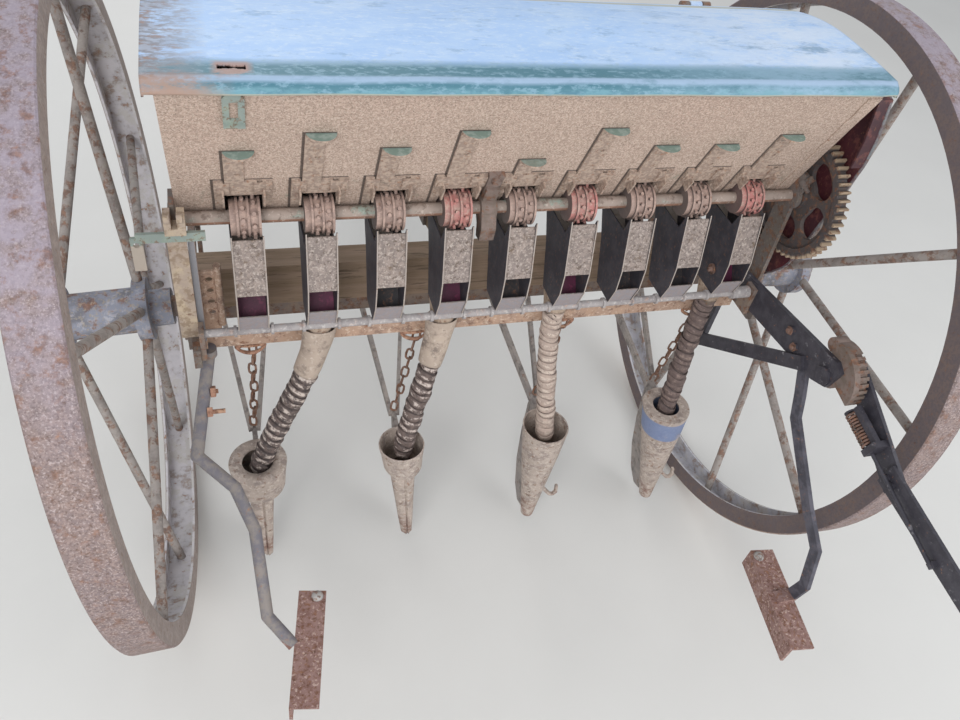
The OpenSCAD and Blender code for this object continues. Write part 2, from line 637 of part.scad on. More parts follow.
// frame
module axle_end() {
  x_cylinder(axle_radius, (beam_end - wheel_x) / cos(c) - 12, hub_outward + 22);
  x_cylinder(axle_radius + 12, (beam_end - wheel_x) / cos(c) - 2, pinion_local - gear_width / 2 - seat_gap);
  x_cylinder(axle_radius + 10, hub_outward + seat_gap, hub_outward + 6);
  translate([hub_outward + 13, 0, -axle_radius - 14]) cylinder(r = 5, h = 2 * axle_radius + 28, $fn = 24);
}
module axle() color("#59524f") {
  place() translate([-beam_end, -axle_beam / 2, axle_z - axle_beam / 2]) cube([2 * beam_end, axle_beam, axle_beam]);
  for (s = [-1, 1]) wheel_place(s) axle_end();
}
module rail(side) mirrored(side) along_x(rail_in, hopper_half) polygon([
  [-rail_back, rail_z + 10], [-rail_back + 12, rail_z], [rail_front, rail_z], [rail_front, rail_top], [-rail_back, rail_top]]);
module rail_left() color("#6b625b") place() rail(-1);
module rail_right() color("#6b625b") place() rail(1);
module main_beam() color("#a3937c") place() translate([-rail_in, beam_rear_y, rail_z]) cube([2 * rail_in, beam_depth, beam_height]);
module front_rail() color("#6b625b") place() translate([-rail_in, rail_front - front_rail_depth, rail_z])
  cube([2 * rail_in, front_rail_depth, rail_height]);
module standard(lean) {
  w = standard_width / 2;
  difference() {
    union() {
      along_x(hopper_half, hopper_half + standard_thick) polygon([
        [shaft_y - w - lean, rail_z + 8], [shaft_y + w - lean, rail_z + 8], [shaft_y + w + lean, standard_top], [shaft_y - w + lean, standard_top]]);
      translate([0, shaft_y, shaft_z]) x_cylinder(shaft_radius + 14, hopper_half, hopper_half + standard_thick + 2);
    }
    translate([0, shaft_y, shaft_z]) x_cylinder(shaft_radius + run_gap, 0, hopper_half + 40);
  }
}
module standard_left() color("#5b5552") place() mirrored(-1) standard(0);
// the right standard carries a clamp with a wing nut
module standard_right() color("#5b5552") place() {
  x = hopper_half + standard_thick / 2 + 1;
  standard(9);
  along_x(hopper_half, hopper_half + standard_thick + 1) polygon([
    [shaft_y - 14, standard_top - 4], [shaft_y - 18, standard_top + 14], [shaft_y + 22, standard_top + 16], [shaft_y + 44, standard_top + 6], [shaft_y + 38, standard_top - 10]]);
  rod([x, shaft_y + 10, standard_top + 4], [x, shaft_y - 34, standard_top - 10], 4.4, 24);
  rod([x, shaft_y - 12, standard_top - 3], [x, shaft_y - 25, standard_top - 7], 7.8, 24);
  for (s = [-1, 1]) flat_bar([x, shaft_y - 20, standard_top - 5.5 + s * 4], [x, shaft_y - 23 - s * 7, standard_top - 5 + s * 21], 5, 11);
}
module shaft_brackets() color("#6a5c52") place() translate([-row_pitch / 2, 0, 0]) difference() {
  union() {
    on_rear() translate([-13, -9, 44]) cube([26, 9, 66]);
    on_rear() translate([-12, -16, 30]) cube([24, 16, 50]);
    on_rear() translate([0, -8, 98]) rotate([90, 0, 0]) cylinder(r = 8, h = 8, $fn = 24);
    translate([0, shaft_y, shaft_z]) x_cylinder(shaft_radius + 9, -13.6, 13.6);
    // pendant under the shaft
    along_x(-13, 13) polygon([
      [shaft_y - 19, shaft_z], [shaft_y - 30, shaft_z - 24], [shaft_y - 27, shaft_z - 50], [shaft_y - 8, shaft_z - 52],
      [shaft_y - 2, shaft_z - 30], [shaft_y + 14, shaft_z - 14]]);
  }
  translate([0, shaft_y, shaft_z]) x_cylinder(shaft_radius + run_gap, -40, 40);
  on_rear() translate([-30, 0, -20]) cube([60, 60, 200]);
}
// board behind the left standard, with a cast hook on its top
board_rear = shaft_y - shaft_radius - 14 - 0.3 - 10;
board_top = floor_z + 24;
module post_left() color("#a8957a") place() {
  x = -hopper_half - 16;
  translate([x, board_rear, rail_top + seat_gap]) cube([board_width, 10, board_top - rail_top]);
  difference() {
    translate([x, board_rear - 14, board_top]) cube([board_width + 2, 24, 34]);
    translate([x + 10, board_rear - 15, board_top + 12]) cube([9, 26, 30]);
  }
  for (s = [0, 1]) translate([x + 5 + s * 18, board_rear - 13, board_top + 30]) rotate([0, 90, 0]) cylinder(r = 7, h = 8, center = true, $fn = 24);
}
strap_length = 98;
module strap_left() color("#7d9a8b") place() {
  y = board_rear - seat_gap - 6;
  x = -hopper_half - 58;
  difference() {
    union() {
      translate([x, y, floor_z + 7]) cube([strap_length, 6, 16]);
      translate([x - 8, y, floor_z - 44]) cube([17, 6, 60]);
    }
    translate([x, y - 5, floor_z + 4]) rotate([-90, 0, 0]) cylinder(r = 4.5, h = 20, $fn = 32);
  }
}
// flat rail behind the seed tubes and the perforated plate beside the left rail
module rear_rail() color("#8a7a68") place()
  translate([-rail_in + seat_gap, chute_front_y, rail_z - rear_rail_height / 2]) cube([2 * (rail_in - seat_gap), rear_rail_thick, rear_rail_height]);
plate_y = -132;
module end_plate() color("#8f8272") place() {
  x = -rail_in + seat_gap;
  difference() {
    translate([x, plate_y, rail_top - 30]) cube([36, 5, 142]);
    for (i = [0 : 3]) translate([x + 24, plate_y - 5, rail_top + 22 + i * 24]) rotate([-90, 0, 0]) cylinder(r = 6, h = 20, $fn = 32);
  }
  translate([x + 38, plate_y - 1, rail_top - 4]) cylinder(r = 6, h = 130, $fn = 32);
  translate([x, plate_y - 20, rail_z + 6]) cube([10, 22, floor_z - rail_z - 14]);
}
module idler_bracket() color("#5b5552") place() {
  along_x(hopper_half, hopper_half + standard_thick - 2) polygon([
    [idler_y - 26, rail_z + 6], [idler_y + 26, rail_z + 6], [idler_y + 20, idler_z + 22], [idler_y - 20, idler_z + 22]]);
  translate([0, idler_y, idler_z]) {
    x_cylinder(idler_pin, hopper_half + 1, guard_in);
    x_cylinder(idler_pin + 7, hopper_half + standard_thick - 2.01, gear_in - 1);
    x_cylinder(idler_pin + 7, gear_in + gear_width + 1, guard_in);
  }
}
module gear_guard() color("#5c2a2c") place() {
  rim = [[-69, 233.5], [-82, 165], [-84, 129.5], [-83, 112]];
  along_x(guard_in, guard_in + guard_thick) translate([shaft_y, shaft_z]) polygon(concat(rim, [
    [-62, -6.5], [-35, -145.5], [10, -206.5], [140, -216.5], [174, -145.5], [178, 113.5], [150, 213.5], [90, 243.5], [-20, 245.5]]));
  along_x(guard_in - 22, guard_in + 0.01) translate([shaft_y, shaft_z]) polygon(concat(rim, [
    [-79, 112], [-80, 129.5], [-78, 165], [-65, 230.5], [-19, 241.5], [89, 239.5], [90, 243.5], [-20, 245.5]]));
  for (p = [[34, 188.5], [160, 153.5]]) translate([0, shaft_y + p[0], shaft_z + p[1]]) x_cylinder(8, hopper_half, guard_in + 0.01, 32);
}

// lever side
module lever_arm() color("#3f3d44") place() {
  heel = [shaft_y - 25, rail_top - 24];
  along_x(arm_in, arm_out) polygon([
    heel, heel + [28, arm_height], [pivot_y - 8, pivot_z + 41], [pivot_y - 27, pivot_z + 30], [pivot_y - 15, pivot_z - 16], [pivot_y + 21, pivot_z - 32]]);
  for (p = [[114, 3], [88, -15]]) translate([arm_in - 5, pivot_y + p[0], pivot_z + p[1]]) x_cylinder(8.5, 0, 5.01, 32);
  translate([0, pivot_y, pivot_z]) {
    x_cylinder(lever_pin, arm_in, lever_in + lever_thick + 10);
    x_cylinder(lever_pin + 7, lever_in + lever_thick + 1, lever_in + lever_thick + 9);
    x_cylinder(lever_pin + 8, arm_in - 5, arm_in + 0.01);
  }
}
// cast quadrant, a notched arc round the lever's pin
arc_from = 62;
arc_to = 192;
arc_depth = 22;
function arc_points(r, from, to, steps) = [for (i = [0 : steps]) let (a = from + (to - from) * i / steps) [r * cos(a), r * sin(a)]];
module quadrant() color("#6a5545") place() translate([0, pivot_y, pivot_z]) difference() {
  union() {
    x_cylinder(lever_pin + 16, quadrant_in, quadrant_out);
    difference() {
      along_x(quadrant_in, quadrant_out) polygon(concat([[0, 0]], arc_points(quadrant_radius, arc_from, arc_to, 26)));
      along_x(quadrant_in + 9, quadrant_out + 1) polygon(concat([[0, 0]], arc_points(quadrant_radius - arc_depth, arc_from - 20, arc_to + 20, 26)));
    }
    translate([0, 26, 50]) x_cylinder(14, quadrant_in, quadrant_out - 4, 32);
  }
  x_cylinder(lever_pin + seat_gap, quadrant_in - 1, quadrant_out + 20);
  for (i = [0 : 7]) rotate([104 + i * 11, 0, 0]) translate([quadrant_in + 12, quadrant_radius - 5, -3]) cube([30, 20, 6]);
}
// the lever is drawn along -Y and then turned down about its pivot
module lever_place() place() translate([lever_in, pivot_y, pivot_z]) rotate([lever_drop, 0, 0]) children();
// line of the latch rod beside the lever
rod_turn = 13;
rod_side = 16;
coil_radius = 10;
coil_wire = 2.4;
coil_turns = 11;
coil_pitch = 6.2;
spring_start = 14;
spring_end = spring_start + coil_turns * coil_pitch;
module rod_place() translate([-rod_side, -62, -1]) rotate([-rod_turn, 0, 0]) children();
module lever() color("#34323a") lever_place() {
  w = lever_width / 2;
  difference() {
    union() {
      along_x(0, lever_thick) polygon([
        [16, lever_offset - w + 6], [16, lever_offset + w - 10], [6, lever_offset + w], [-lever_inner, lever_offset + w], [-lever_inner, lever_offset - w]]);
      x_cylinder(lever_pin + 17, 0, lever_thick);
    }
    x_cylinder(lever_pin + run_gap, -1, lever_thick + 1);
  }
  translate([0, -outer_start[0], outer_start[1]]) rotate([-lever_bend, 0, 0]) {
    along_x(-lever_thick, 0.01) polygon([
      [0, w - 1], [0, 1 - w], [-lever_outer + lever_end, -lever_end], [-lever_outer + lever_end, lever_end]]);
    translate([0, -lever_outer + lever_end, 0]) x_cylinder(lever_end, -lever_thick, 0.01);
    for (y = [-9, -24]) translate([0, y, -2]) x_cylinder(7, -lever_thick - 4, 0, 24);
  }
  // latch rod, the plate that caps its spring, and the cast clip that guides it
  rod_place() {
    rod([0, -9, 0], [0, -300, 0], 3.6, 24);
    rod([0, -spring_start + 3.5, 0], [0, -spring_start + 0.3, 0], coil_radius + 1.5, 32);
    translate([-11, -spring_end - 12, -10]) cube([rod_side + 11.01, 11.7, 36]);
    translate([-5, -spring_end - 12, 14]) cube([10, spring_end, 12]);
    translate([0, -300, -7]) cube([rod_side - lever_thick + 0.01, 10, 14]);
  }
}
module latch_spring() color("#5c4f49") lever_place() rod_place()
  for (i = [0 : coil_turns - 1]) translate([0, -spring_start - (i + 0.5) * coil_pitch, 0]) rotate([90, 0, 0])
    rotate_extrude($fn = 32) translate([coil_radius, 0]) circle(r = coil_wire, $fn = 20);
// outline of a strip of height h along the points p
function strip(p, h) = concat(
  [for (i = [0 : len(p) - 1]) p[i] + path_normal(p, i) * h / 2], [for (i = [len(p) - 1 : -1 : 0]) p[i] - path_normal(p, i) * h / 2]);
module brace_right() color("#4b4648") place() {
  hanger = [drag_z + 4, rail_top - 6];
  along_x(arm_in - 8.4, arm_in - seat_gap) polygon(strip([[pivot_y + 50, pivot_z - 20], [shaft_y + 42, drag_z + 12]], 28));
  along_x(arm_in - 1, arm_out) polygon([[-106, hanger[0]], [-62, hanger[0]], [-62, hanger[1]], [-106, hanger[1]]]);
}
module iron(from, yaw) translate(from) rotate([0, 0, yaw]) rotate([90, 0, 0]) linear_extrude(height = iron_length, center = true)
  polygon([[0, 0], [iron_leg, 0], [iron_leg, -iron_thick], [iron_thick, -iron_thick], [iron_thick, -iron_leg], [0, -iron_leg]]);
module footboard_right() color("#7a4c40") place() {
  foot = [-636, 290];
  path = [[pivot_y + 66, pivot_z - 26], [-400, 629], [-420, 584], [-553, 475], [-620, 429], [-648, 345], [foot[0] - 4, foot[1] + 4]];
  along_x(arm_out + seat_gap, arm_out + seat_gap + 9) polygon(strip(path, bracket_width));
  translate([arm_out - 34, foot[0] - 16, foot[1] - 0.01]) cube([34 + 9, 24, 7]);
  iron([arm_out - 43, foot[0], foot[1]], -8);
}
module footboard_left() color("#7a4c40") place() {
  x = -rail_in + 10;
  rod_path([[x, -143.5, rail_z - 14], [-560, -290, 520], [-503, -330, 470], [-477, -376, 400], [-470, -487, 290], [-430, -540, 268]], bracket_radius);
  rod([x, -143.5, rail_z - 16], [x, -143.5, rail_z - seat_gap], bracket_radius + 3);
  iron([-430, -545, 275], -11);
}

// coulters
module drag_bar() color("#4f4a48") place() translate([0, drag_y, drag_z]) x_cylinder(drag_radius, -rail_in + 1, rail_in - 1);
module drag_hangers() color("#55504e") place() for (s = [-1, 1]) mirrored(s) difference() {
  along_x(rail_in - 8, rail_in) polygon([
    [drag_y - 26, rail_top - 4], [drag_y + 26, rail_top - 4], [drag_y + 20, drag_z - 22], [drag_y - 20, drag_z - 22]]);
  translate([0, drag_y, drag_z]) x_cylinder(drag_radius + seat_gap, 0, hopper_half, 48);
}
function cup_r(k, z) = let (q = COULTERS[k - 1], top = q[2], s = top - shoulder)
  z > s ? q[1] - 7 * (top - z) / shoulder : cup_tip_radius + (q[1] - 7 - cup_tip_radius) * (z - cup_tip_z) / (s - cup_tip_z);
// where a fork's two legs meet the shoe plate, and the plate's front outline below its top
fork_apex = [-124, 374];
shoe_front = [[-178, 30], [-150, 18], [-122, 50], [-104, 130], [-100, 230], [-106, 330]];
module fork(k) place() translate([coulter_x(k), 0, 0]) {
  top = COULTERS[k - 1][2];
  zs = [top - 8, top - shoulder, 90];
  difference() {
    union() {
      for (s = [-1, 1]) {
        flat_bar([s * fork_half, drag_y, drag_z], [s * 7, fork_apex[0], fork_apex[1]], leg_thick, leg_height);
        translate([s * fork_half, drag_y, drag_z]) x_cylinder(drag_radius + 9, -8, 8, 48);
      }
      along_x(-shoe_thick / 2, shoe_thick / 2) polygon(concat(
        [for (z = zs) [cup_y + cup_r(k, z) + seat_gap, z]],
        shoe_front, [[-112, top - 2]]));
    }
    translate([0, drag_y, drag_z]) x_cylinder(drag_radius + run_gap, -fork_half - 30, fork_half + 30);
  }
}
module cup(k) place() translate([coulter_x(k), cup_y, 0]) {
  q = COULTERS[k - 1];
  top = q[2];
  s = top - shoulder;
  t = cup_wall;
  r0 = cup_tip_radius;
  difference() {
    union() {
      rotate_extrude($fn = round_fn) polygon([[0, cup_tip_z], [r0, cup_tip_z], [q[1] - 7, s], [q[1], top], [0, top]]);
      if (q[4] == 1) rotate([90, 0, 0]) linear_extrude(height = 7, center = true) polygon([
        [10, 172], [10, 160], [34, 122], [48, 104], [60, 102], [68, 112], [66, 140], [60, 140], [61, 115], [57, 109],
        [51, 111], [40, 127]]);
    }
    rotate_extrude($fn = round_fn) polygon([[0, cup_tip_z - 1], [r0 - t, cup_tip_z - 1], [r0 - t, cup_tip_z],
      [q[1] - 7 - t, s], [q[1] - t, top - 5], [0, top - 5]]);
    translate([0, 0, top - 6]) cylinder(r = q[3] == 1 ? ring_hole : q[1] - t, h = 7, $fn = round_fn);
    translate([-60, -60, cup_tip_z - 41]) rotate([-24, 0, 0]) cube([120, 120, 40]);
  }
}
module fork_1() color("#5a5450") fork(1);
module fork_2() color("#5a5450") fork(2);
module fork_3() color("#5a5450") fork(3);
module fork_4() color("#5a5450") fork(4);
module cup_1() color("#a08c7c") cup(1);
module cup_2() color("#a08c7c") cup(2);
module cup_3() color("#a08c7c") cup(3);
module cup_4() color("#a08c7c") cup(4);

// seed tubes hang in funnels under the chutes and end in the cups
module tube(k) place() {
  q = COULTERS[k - 1];
  xc = coulter_x(k);
  xr = row_x(q[5]);
  top = chute_bottom - seat_gap;
  y0 = -150;
  start = [xr, y0, top - funnel_height - seat_gap];
  stop = [xc, cup_y, q[2] - 30];
  c1 = start - [0, 0, 100];
  c2 = stop + [(xr - xc) * 0.2, 12, 100];
  swept_pipe([for (i = [0 : 9]) let (t = i / 9, u = 1 - t)
    u * u * u * start + 3 * u * u * t * c1 + 3 * u * t * t * c2 + t * t * t * stop], tube_radius, tube_radius - tube_wall);
  difference() {
    funnel(xr, y0, top, chute_width / 2, 21, tube_radius, 0);
    funnel(xr, y0, top, chute_width / 2 - chute_sheet, 18, tube_radius - tube_wall, 1);
  }
}
// square at the top and round at the bottom
module funnel(x, y, top, half_x, half_y, r, past) hull() {
  translate([x - half_x, y - half_y, top - 4]) cube([2 * half_x, 2 * half_y, 4 + past]);
  translate([x, y, top - funnel_height - past]) cylinder(r = r, h = 2, $fn = 32);
}
module tube_1() color("#5a4a42") tube(1);
module tube_2() color("#5a4a42") tube(2);
module tube_3() color("#5a4a42") tube(3);
module tube_4() color("#5a4a42") tube(4);

// pole, drawn level along Y from the attachment and then sloped down
module pole_place() place() translate([0, attach_y, attach_z]) rotate([-pole_slope, 0, 0]) children();
module pole() color("#8a7a68") pole_place() translate([-pole_side / 2, -pole_start, -pole_side / 2]) cube([pole_side, pole_length, pole_side]);
module pole_bracket() color("#55504e") place() {
  for (s = [-1, 1]) mirrored(s) along_x(pole_side / 2 + seat_gap, pole_side / 2 + seat_gap + 7) polygon([
    [rail_front - front_rail_depth - 20, rail_z - seat_gap], [rail_front, rail_z - seat_gap],
    [rail_front + 8, attach_z - 34], [rail_front - front_rail_depth - 30, attach_z - 24]]);
  for (s = [-1, 1]) mirrored(s) translate([pole_side / 2 + seat_gap, rail_front - front_rail_depth, rail_z - seat_gap - 6])
    cube([44, front_rail_depth, 6]);
}
stay_reach = 700;
module stays() color("#55504e") place() for (s = [-1, 1]) mirrored(s) {
  foot = [attach_y + stay_reach, attach_z - stay_reach * tan(pole_slope)];
  rod([hopper_half - 30, rail_front + 9, rail_z + 20], [pole_side / 2 + 10, foot[0], foot[1]], 8, 32);
  translate([hopper_half - 46, rail_front + seat_gap, rail_z + 4]) cube([32, 8, 32]);
  along_x(pole_side / 2 + seat_gap, pole_side / 2 + 10) translate(foot) circle(r = 20, $fn = 32);
}
module tow_eye() color("#4c4644") pole_place() {
  e = (eye_y - attach_y) / cos(pole_slope);
  difference() {
    union() {
      translate([0, e, -eye_thick / 2]) cylinder(r = eye_radius, h = eye_thick, $fn = round_fn);
      for (s = [-1, 1]) mirrored(s) translate([pole_side / 2 + seat_gap, e - eye_radius - 190, -22]) cube([7, 192, 44]);
      translate([-pole_side / 2 - 7.3, e - eye_radius - 3.7, -eye_thick / 2]) cube([pole_side + 14.6, 16, eye_thick]);
    }
    translate([0, e, -50]) cylinder(r = eye_bore, h = 100, $fn = round_fn);
  }
}

hopper();
shutters();
shutter_guides();
hasp();
shaft_brackets();
chutes();
chute_bar();
bar_ears();
main_beam();
front_rail();
rail_left();
rail_right();
standard_left();
standard_right();
post_left();
strap_left();
axle();
idler_bracket();
gear_guard();
lever_arm();
quadrant();
brace_right();
footboard_left();
footboard_right();
drag_bar();
drag_hangers();
pole();
pole_bracket();
stays();
tow_eye();
hinges();
rear_rail();
end_plate();
tube_1();
tube_2();
tube_3();
tube_4();
rim_left();
spokes_left();
hub_left();
rim_right();
spokes_right();
hub_right();
pinion();
idler_gear();
seed_shaft();
feed_wheels();
seed_gear();
lid();
lever();
latch_spring();
fork_1();
cup_1();
fork_2();
cup_2();
fork_3();
cup_3();
fork_4();
cup_4();
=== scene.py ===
import bpy
import json
import math
import numpy as np
from mathutils import Matrix, Vector


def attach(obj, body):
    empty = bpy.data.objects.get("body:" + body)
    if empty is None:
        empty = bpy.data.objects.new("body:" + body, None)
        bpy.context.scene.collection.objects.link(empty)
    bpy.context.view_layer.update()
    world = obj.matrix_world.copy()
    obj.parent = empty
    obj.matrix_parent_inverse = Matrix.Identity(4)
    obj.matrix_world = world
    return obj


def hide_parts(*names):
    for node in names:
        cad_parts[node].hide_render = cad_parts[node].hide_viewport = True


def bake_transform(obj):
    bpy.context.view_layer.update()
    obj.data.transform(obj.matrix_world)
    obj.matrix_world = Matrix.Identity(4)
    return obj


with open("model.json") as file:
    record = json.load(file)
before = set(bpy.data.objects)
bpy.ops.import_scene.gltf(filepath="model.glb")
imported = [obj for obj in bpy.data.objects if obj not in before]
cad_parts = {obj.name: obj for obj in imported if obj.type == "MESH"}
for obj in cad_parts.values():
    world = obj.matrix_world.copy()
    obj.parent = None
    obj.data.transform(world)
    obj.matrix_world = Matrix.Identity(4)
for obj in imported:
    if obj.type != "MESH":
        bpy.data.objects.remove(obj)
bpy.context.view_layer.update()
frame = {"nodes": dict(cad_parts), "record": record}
nodes = frame["nodes"]
rng = np.random.default_rng(7)

mm = 0.001
rowX = [(i - 4) * 0.112 for i in range(9)]
coulterX = [share * 0.303 for share in (-1.5, -0.5, 0.5, 1.5)]
chuteFoot = 708.351 * mm

# rest places of the joints, in metres
joints = frame["record"]["behaviour"]["joints"]
pivots = {j["name"]: Vector(j["pos_m"]) for j in joints}
axes = {j["name"]: Vector(j["axis"]) for j in joints}
axleY = pivots["wheel_right_spin"].y


def at(x, y, z):  # a place given in millimetres from the axle line
    return Vector((x / 1000, y / 1000 + axleY, z / 1000))


# camera, fitted to the photograph
camera = dict(place=(-478.4, -1200.3, 1678.1), focal=811.13, sensor=36, pictureWidth=960, near=0.05, far=60,
              right=(0.9543, -0.2620, 0.1438), down=(-0.0911, -0.7128, -0.6954))
right = Vector(camera["right"]).normalized()
down = Vector(camera["down"])
down = (down - right * down.dot(right)).normalized()
ahead = right.cross(down)
camData = bpy.data.cameras.new("camera")
camData.sensor_width = camera["sensor"]
camData.lens = camera["focal"] * camera["sensor"] / camera["pictureWidth"]
camData.clip_start = camera["near"]
camData.clip_end = camera["far"]
cam = bpy.data.objects.new("camera", camData)
look = Matrix((right, -down, -ahead)).transposed().to_4x4()
cam.matrix_world = Matrix.Translation(at(*camera["place"])) @ look
bpy.context.collection.objects.link(cam)
bpy.context.scene.camera = cam
bpy.context.scene.view_settings.view_transform = "Standard"
print("camera set")


# shared effects
def feed(tree, node, inputs):  # each input is linked to a socket or set to a value
    for key, value in inputs.items():
        if isinstance(value, bpy.types.NodeSocket):
            tree.links.new(value, node.inputs[key])
        else:
            node.inputs[key].default_value = value


def addNode(tree, kind, inputs=None, **settings):
    node = tree.nodes.new("ShaderNode" + kind)
    for key, value in settings.items():
        setattr(node, key, value)
    feed(tree, node, inputs or {})
    return node


def mathNode(tree, operation, *values, clamp=False):
    return addNode(tree, "Math", dict(enumerate(values)), operation=operation, use_clamp=clamp).outputs[0]


def vectorNode(tree, operation, *values):
    return addNode(tree, "VectorMath", dict(enumerate(values)), operation=operation)


def noiseNode(tree, vector, scale, detail, roughness=0.5):
    values = dict(Vector=vector, Scale=scale, Detail=detail, Roughness=roughness)
    return addNode(tree, "TexNoise", values).outputs["Fac"]


def newGroup(name, inputs, outputs):
    group = bpy.data.node_groups.new(name, "ShaderNodeTree")
    for way, sockets in (("INPUT", inputs), ("OUTPUT", outputs)):
        for label, kind in sockets.items():
            group.interface.new_socket(label, in_out=way, socket_type="NodeSocket" + kind)
    return group, group.nodes.new("NodeGroupInput").outputs, group.nodes.new("NodeGroupOutput").inputs


# noise cut to a mask: Cover 0 gives none, 1 gives all
patches, given, result = newGroup(
    "patches", dict(Vector="Vector", Scale="Float", Cover="Float", Softness="Float", Roughness="Float"),
    dict(Mask="Float"))
noise = noiseNode(patches, given["Vector"], given["Scale"], 6, given["Roughness"])
edge = mathNode(patches, "SUBTRACT", 0.75, mathNode(patches, "MULTIPLY", given["Cover"], 0.5))
limits = {"From Min": mathNode(patches, "SUBTRACT", edge, given["Softness"]),
          "From Max": mathNode(patches, "ADD", edge, given["Softness"])}
ramp = addNode(patches, "MapRange", dict(Value=noise, **limits), interpolation_type="SMOOTHSTEP")
patches.links.new(ramp.outputs["Result"], result["Mask"])

# rust in three tones
rustStops = ((0.3, (0.050, 0.025, 0.018, 1)), (0.5, (0.17, 0.075, 0.042, 1)), (0.72, (0.36, 0.17, 0.085, 1)))
rustTone, given, result = newGroup("rustTone", dict(Vector="Vector", Scale="Float"), dict(Colour="Color"))
noise = noiseNode(rustTone, given["Vector"], given["Scale"], 5, 0.7)
tones = addNode(rustTone, "ValToRGB", dict(Fac=noise))
tones.color_ramp.elements.new(0.5)
for element, (place, colour) in zip(tones.color_ramp.elements, rustStops):
    element.position = place
    element.color = colour
rustTone.links.new(tones.outputs["Color"], result["Colour"])

# height for bump: fine grain and wider pits
surfaceHeight, given, result = newGroup(
    "surfaceHeight", dict(Vector="Vector", Grain="Float", Pits="Float"), dict(Height="Float"))
grain, pits = [noiseNode(surfaceHeight, given["Vector"], given[key], 4) for key in ("Grain", "Pits")]
total = mathNode(surfaceHeight, "ADD", mathNode(surfaceHeight, "MULTIPLY", grain, 0.35), pits)
surfaceHeight.links.new(total, result["Height"])

# 1 between Low and High of a value, with soft ends
band, given, result = newGroup(
    "band", dict(Value="Float", Low="Float", High="Float", Soft="Float"), dict(Mask="Float"))
ends = [mathNode(band, "DIVIDE", mathNode(band, "SUBTRACT", given[a], given[b]), given["Soft"], clamp=True)
        for a, b in (("Value", "Low"), ("High", "Value"))]
band.links.new(mathNode(band, "MULTIPLY", *ends), result["Mask"])

# distance from a wheel's axis and place along it
wheelPlace, given, result = newGroup(
    "wheelPlace", dict(Vector="Vector", Centre="Vector", Axis="Vector"), dict(Radius="Float", Along="Float"))
offset = vectorNode(wheelPlace, "SUBTRACT", given["Vector"], given["Centre"]).outputs[0]
square = vectorNode(wheelPlace, "CROSS_PRODUCT", offset, given["Axis"]).outputs[0]
along = vectorNode(wheelPlace, "DOT_PRODUCT", offset, given["Axis"]).outputs["Value"]
wheelPlace.links.new(vectorNode(wheelPlace, "LENGTH", square).outputs["Value"], result["Radius"])
wheelPlace.links.new(along, result["Along"])


def hexColour(text):  # picture colour to linear
    values = [int(text[i:i + 2], 16) / 255 for i in (1, 3, 5)]
    return tuple(((v + 0.055) / 1.055) ** 2.4 if v > 0.04045 else v / 12.92 for v in values) + (1,)


class Finish:  # one material whose colour is built up in layers
    bumpDepth = 0.001

    def __init__(self, name, base, roughness, stretch=(1, 1, 1), source="Object"):
        self.mat = bpy.data.materials.new(name)
        self.mat.use_nodes = True
        self.tree = self.mat.node_tree
        self.raw = addNode(self.tree, "TexCoord").outputs[source]
        self.vector = addNode(self.tree, "Mapping", dict(Vector=self.raw, Scale=stretch)).outputs["Vector"]
        self.split = addNode(self.tree, "SeparateXYZ", {0: self.raw}).outputs
        self.colour = hexColour(base)
        self.roughness = roughness

    def group(self, group, **values):
        return addNode(self.tree, "Group", values, node_tree=group).outputs

    def band(self, value, low, high, soft):
        return self.group(band, Value=value, Low=low, High=high, Soft=soft)[0]

    def between(self, axis, low, high, soft):
        return self.band(self.split["XYZ".index(axis)], low, high, soft)

    def ringBand(self, low, high, soft):  # share of the way along one ring of a tube
        return self.band(mathNode(self.tree, "FRACT", self.split["Y"]), low, high, soft)

    def wheel(self, joint):
        return self.group(wheelPlace, Vector=self.raw, Centre=pivots[joint], Axis=axes[joint])

    def facing(self, axis, low):  # where the surface faces along an axis at least so far
        normal = addNode(self.tree, "NewGeometry").outputs["True Normal"]
        value = addNode(self.tree, "SeparateXYZ", {0: normal}).outputs["XYZ".index(axis[-1])]
        if axis[0] == "-":
            value = mathNode(self.tree, "MULTIPLY", value, -1.0)
        return self.band(value, low, 1.2, 0.03)

    def both(self, first, *others):  # product of masks
        for other in others:
            first = mathNode(self.tree, "MULTIPLY", first, other)
        return first

    def over(self, mask, colour, amount=1.0, roughness=None):  # a number for the colour is the scale of rust
        factor = mask if amount == 1.0 else mathNode(self.tree, "MULTIPLY", mask, amount)
        if isinstance(colour, str):
            colour = hexColour(colour)
        else:
            colour = self.group(rustTone, Vector=self.vector, Scale=colour)[0]
        mix = addNode(self.tree, "Mix", {0: factor, 6: self.colour, 7: colour}, data_type="RGBA")
        self.colour = mix.outputs[2]
        if roughness is not None:
            blend = addNode(self.tree, "Mix", {0: factor, 2: self.roughness, 3: roughness})
            self.roughness = blend.outputs[0]

    # speckle; rows: colour or rust, amount, scale, cover, softness, then detail and roughness if they differ
    def spots(self, *rows, within=None):
        for colour, amount, scale, cover, soft, *more in rows:
            detail = more[0] if more else 0.7
            values = dict(Vector=self.vector, Scale=scale, Cover=cover, Softness=soft, Roughness=detail)
            mask = self.group(patches, **values)[0]
            self.over(mask if within is None else self.both(within, mask), colour, amount, *more[1:])

    def done(self, grain, pits, bump):
        height = self.group(surfaceHeight, Vector=self.vector, Grain=grain, Pits=pits)[0]
        node = addNode(self.tree, "Bump", dict(Strength=bump, Distance=self.bumpDepth, Height=height))
        values = {"Base Color": self.colour, "Roughness": self.roughness, "Normal": node.outputs[0]}
        feed(self.tree, self.tree.nodes["Principled BSDF"], values)
        return self.mat


def paint(mat, *names):
    for name in names:
        materials = nodes[name].data.materials
        materials.clear()
        materials.append(mat)


